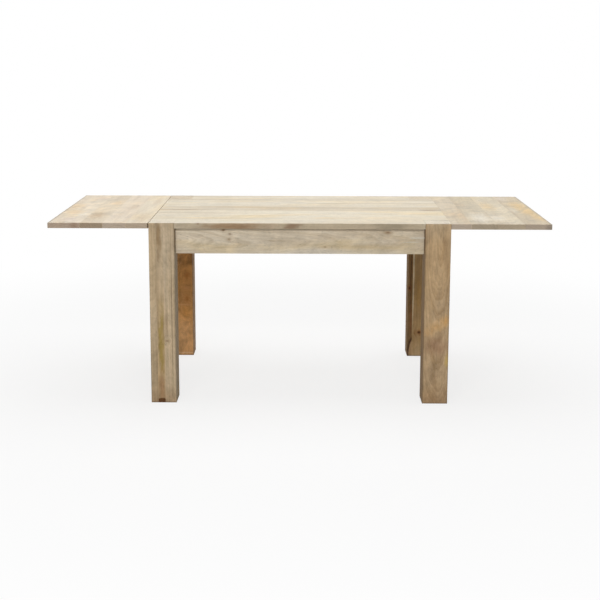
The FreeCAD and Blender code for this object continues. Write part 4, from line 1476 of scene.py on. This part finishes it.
def bolt_thread(g, radius, pitch, threaded):
    """A threaded rod, and where its last whole turn ends."""
    turns = g.math("FLOOR", g.math("DIVIDE", threaded, pitch))
    end = g.times(turns, pitch)
    sizes = {"Vertices": ROUND_SIDES, "Side Segments": g.times(turns, 2.0), "Radius": radius, "Depth": end}
    blank = moved(g, g.add("GeometryNodeMeshCylinder", sizes), g.times(end, 0.5))
    place = g.add("GeometryNodeInputPosition")
    half_turn = g.times(pitch, 0.5)
    crest = g.math("DIVIDE", g.math("PINGPONG", g.parts(place)["Z"], half_turn), half_turn)
    slim = g.plus(g.times(crest, 1.0 - THREAD_ROOT), THREAD_ROOT)
    pressed = g.vector("MULTIPLY", place, g.add("ShaderNodeCombineXYZ", {"X": slim, "Y": slim, "Z": 1.0}))
    return g.add("GeometryNodeSetPosition", {"Geometry": blank, "Position": pressed}), end


def bolt_tree():
    g, given = new_tree("hanger_bolt", {
        "Radius": 0.004, "Length": 0.061, "Threaded": 0.016, "Pitch": 0.00125, "Point": 0.006,
    })
    radius = given["Radius"]
    thread, thread_end = bolt_thread(g, radius, given["Pitch"], given["Threaded"])
    point_start = g.minus(given["Length"], given["Point"])
    body = rod(g, radius, g.minus(thread_end, THREAD_OVERLAP), g.plus(point_start, OVERLAP))
    point = cone(g, radius, BOLT_TIP, point_start, given["Length"])
    return plant(g, given, joined(g, [thread, body, point]))


plant_on("hanger_bolts", bolt_tree(), zinc)

# %% [markdown]
# ## Nuts and washers
#
# A nut is a six-sided bar whose corners are turned down on a lathe, so that its faces end in arcs.
# Cutting the corners straight would miss those arcs. So the bar is kept only where it lies inside two
# wide cones, one from each side, and then bored. A washer is a short rod with the same bore.

# %% Nuts and washers
CONE_FACE, CONE_SLOPE = 0.48, 1.6
TURNED_SIDES, BORE_SIDES = 48, 32
BORE_PAST = 0.001


def bored(g, shape, given):
    """A shape with a hole along its line, cut a little past both ends."""
    bore = rod(g, given["Bore"], -BORE_PAST, g.plus(given["Length"], BORE_PAST), BORE_SIDES)
    return cut(g, shape, [bore])


def nut_tree():
    g, given = new_tree("hexagon_nut", {"Across Flats": 0.013, "Length": 0.0065, "Bore": 0.0041})
    flats, height = given["Across Flats"], given["Length"]
    face = g.times(flats, CONE_FACE)
    foot = g.plus(face, g.times(height, CONE_SLOPE))
    bar = rod(g, g.times(flats, 1.0 / math.sqrt(3.0)), 0.0, height, 6)
    upper = cone(g, foot, face, 0.0, height, TURNED_SIDES)
    lower = cone(g, face, foot, 0.0, height, TURNED_SIDES)
    return plant(g, given, bored(g, boolean(g, "INTERSECT", {1: [bar, upper, lower]}), given))


def washer_tree():
    g, given = new_tree("washer", {"Radius": 0.009, "Length": 0.0016, "Bore": 0.0041})
    plate = rod(g, given["Radius"], 0.0, given["Length"], TURNED_SIDES)
    return plant(g, given, bored(g, plate, given))


plant_on("bolt_nuts", nut_tree(), zinc, slim=False)
plant_on("bolt_washers", washer_tree(), zinc, slim=False)

# %% [markdown]
# ## Corner brackets
#
# A bracket is a strip of steel, bent at both ends and punched for bolts and screws. It spans the corner
# between two aprons. The CAD node already has the bends and the holes, so it is treated as a board is:
# copied, merged, and eased a little, as a punched edge is after tumbling.

# %% Corner brackets
STEEL_EASING = 0.0004
BRACKETS = [f"corner_bracket_{side}_{end}" for side in ("front", "rear") for end in ("left", "right")]
for node in BRACKETS:
    bracket = to_object(f"{node}_steel", stock(node, STEEL_EASING))
    bracket.data.materials.append(zinc)
    settle(bracket, node)
print(f"{len(BRACKETS)} corner brackets")

# %% [markdown]
# ## Dowels and pegs
#
# Dowels are hardwood rods with chamfered ends and fine flutes, which let the glue out. The stop pegs of
# the arms are the same without flutes. A flute could be cut by booleans, but a dowel has a dozen. So the
# tree takes a cylinder of four rings: the end rings are drawn in, the next two moved out to the chamfer,
# and the flutes pressed in by a wave round the rod.

# %% A fluted dowel
DOWEL_SIDES, DOWEL_SEGMENTS = 48, 3
NEAR_END = 0.4


def choose(g, share, first, second):
    return g.add("ShaderNodeMix", {"Factor": share, 2: first, 3: second}, data_type="FLOAT")


def dowel_tree():
    g, given = new_tree("fluted_dowel", {
        "Radius": 0.004, "Length": 0.04, "Chamfer": 0.001, "Flutes": 12.0, "Flute Depth": 0.0003,
    })
    radius, length, chamfer = given["Radius"], given["Length"], given["Chamfer"]
    sizes = {"Vertices": DOWEL_SIDES, "Side Segments": DOWEL_SEGMENTS, "Radius": radius, "Depth": length}
    blank = g.add("GeometryNodeMeshCylinder", sizes)
    place = g.parts(g.add("GeometryNodeInputPosition"))
    at_end = g.math("GREATER_THAN", g.math("ABSOLUTE", place["Z"]), g.times(length, NEAR_END))
    angle = g.math("ARCTAN2", place["Y"], place["X"])
    wave = g.math("MAXIMUM", g.math("COSINE", g.times(angle, given["Flutes"])), 0.0)
    fluted = g.minus(radius, g.times(wave, given["Flute Depth"]))
    slimmer = choose(g, at_end, fluted, g.minus(radius, chamfer))
    shoulder = g.times(g.math("SIGN", place["Z"]), g.minus(g.times(length, 0.5), chamfer))
    scale = g.math("DIVIDE", slimmer, radius)
    new_place = g.add("ShaderNodeCombineXYZ", {
        "X": g.times(place["X"], scale),
        "Y": g.times(place["Y"], scale),
        "Z": choose(g, at_end, shoulder, place["Z"]),
    })
    shaped = g.add("GeometryNodeSetPosition", {"Geometry": blank, "Position": new_place})
    return plant(g, given, moved(g, shaped, g.times(length, 0.5)))


dowels = dowel_tree()
print(f"dowel tree: {len(dowels.nodes)} nodes")

# %% Dowels and pegs
DOWEL = {
    "Pale": (214, 186, 146), "Dark": (198, 166, 124), "Stain": (190, 156, 116), "Warm": (216, 184, 138),
    "End Tone": (186, 152, 112),
}
FLUTE = 0.0003
LEAF_DOWELS = {f"{end}_leaf_dowels": (X, 0.005, FLUTE) for end in ("left", "right")}
STOP_PEGS = {f"{end}_stop_peg_{side}": (Z, 0.006, 0.0) for end, side in CORNERS}
ALL_DOWELS = {"frame_dowels": (X, 0.004, FLUTE)} | LEAF_DOWELS | STOP_PEGS
dowel_wood = wood("dowel_wood", DOWEL, ring_spacing=0.002)
for number, (node, (fibre, radius, flute)) in enumerate(ALL_DOWELS.items()):
    piece = plant_on(node, dowels, dowel_wood, radius=radius, flute_depth=flute)
    lay_grain(piece, fibre, [Log((0.05, 0.03), 180.0 + 3.0 * number)])

# %% [markdown]
# ## Foot glides
#
# A round plastic glide with a stem is knocked into each foot, so that the table slides without tearing
# its legs. Its rim could be eased as a board is, but a moulded rim is rounder. So a bevel that finds
# edges by their angle rounds it further, and the plastic has the faint grain of its mould and paler
# rubbed patches.

# %% Glide plastic
SPECK_CELLS = (900.0, 900.0, 900.0)
RUB_CELLS = (60.0, 60.0, 60.0)
PLASTIC_ROUGH, RUB_ROUGH = 0.4, 0.3
SPECK_BUMP, SPECK_DEPTH = 0.2, 0.0002


def plastic_finish():
    g = Finish("glide_plastic")
    speck = g.noise(g.place(), SPECK_CELLS, 2.0)
    rub = g.noise(g.place(), RUB_CELLS, 3.0)
    return g.cover(g.coat(
        base_color=g.mix(rub, shade(58, 52, 46), shade(84, 76, 66)),
        roughness=g.plus(g.times(rub, RUB_ROUGH), PLASTIC_ROUGH),
        normal=g.bump(speck, SPECK_BUMP, SPECK_DEPTH),
    ))


plastic = plastic_finish()
print(f"{plastic.name}: specks {1000 / SPECK_CELLS[0]:.1f} mm across")

# %% Foot glides
RIM_ROUND, RIM_SEGMENTS = 0.0012, 3
glides = to_object("foot_glides_moulded", stock("foot_glides", SMALL_EASING))
glides.data.materials.append(plastic)
bevel = glides.modifiers.new("rim", "BEVEL")
bevel.width = RIM_ROUND
bevel.segments = RIM_SEGMENTS
bevel.limit_method = "ANGLE"
plain_mesh(glides)
smooth_turned_faces(glides)
settle(glides, "foot_glides")
print(f"foot glides: {len(glides.data.polygons)} faces")
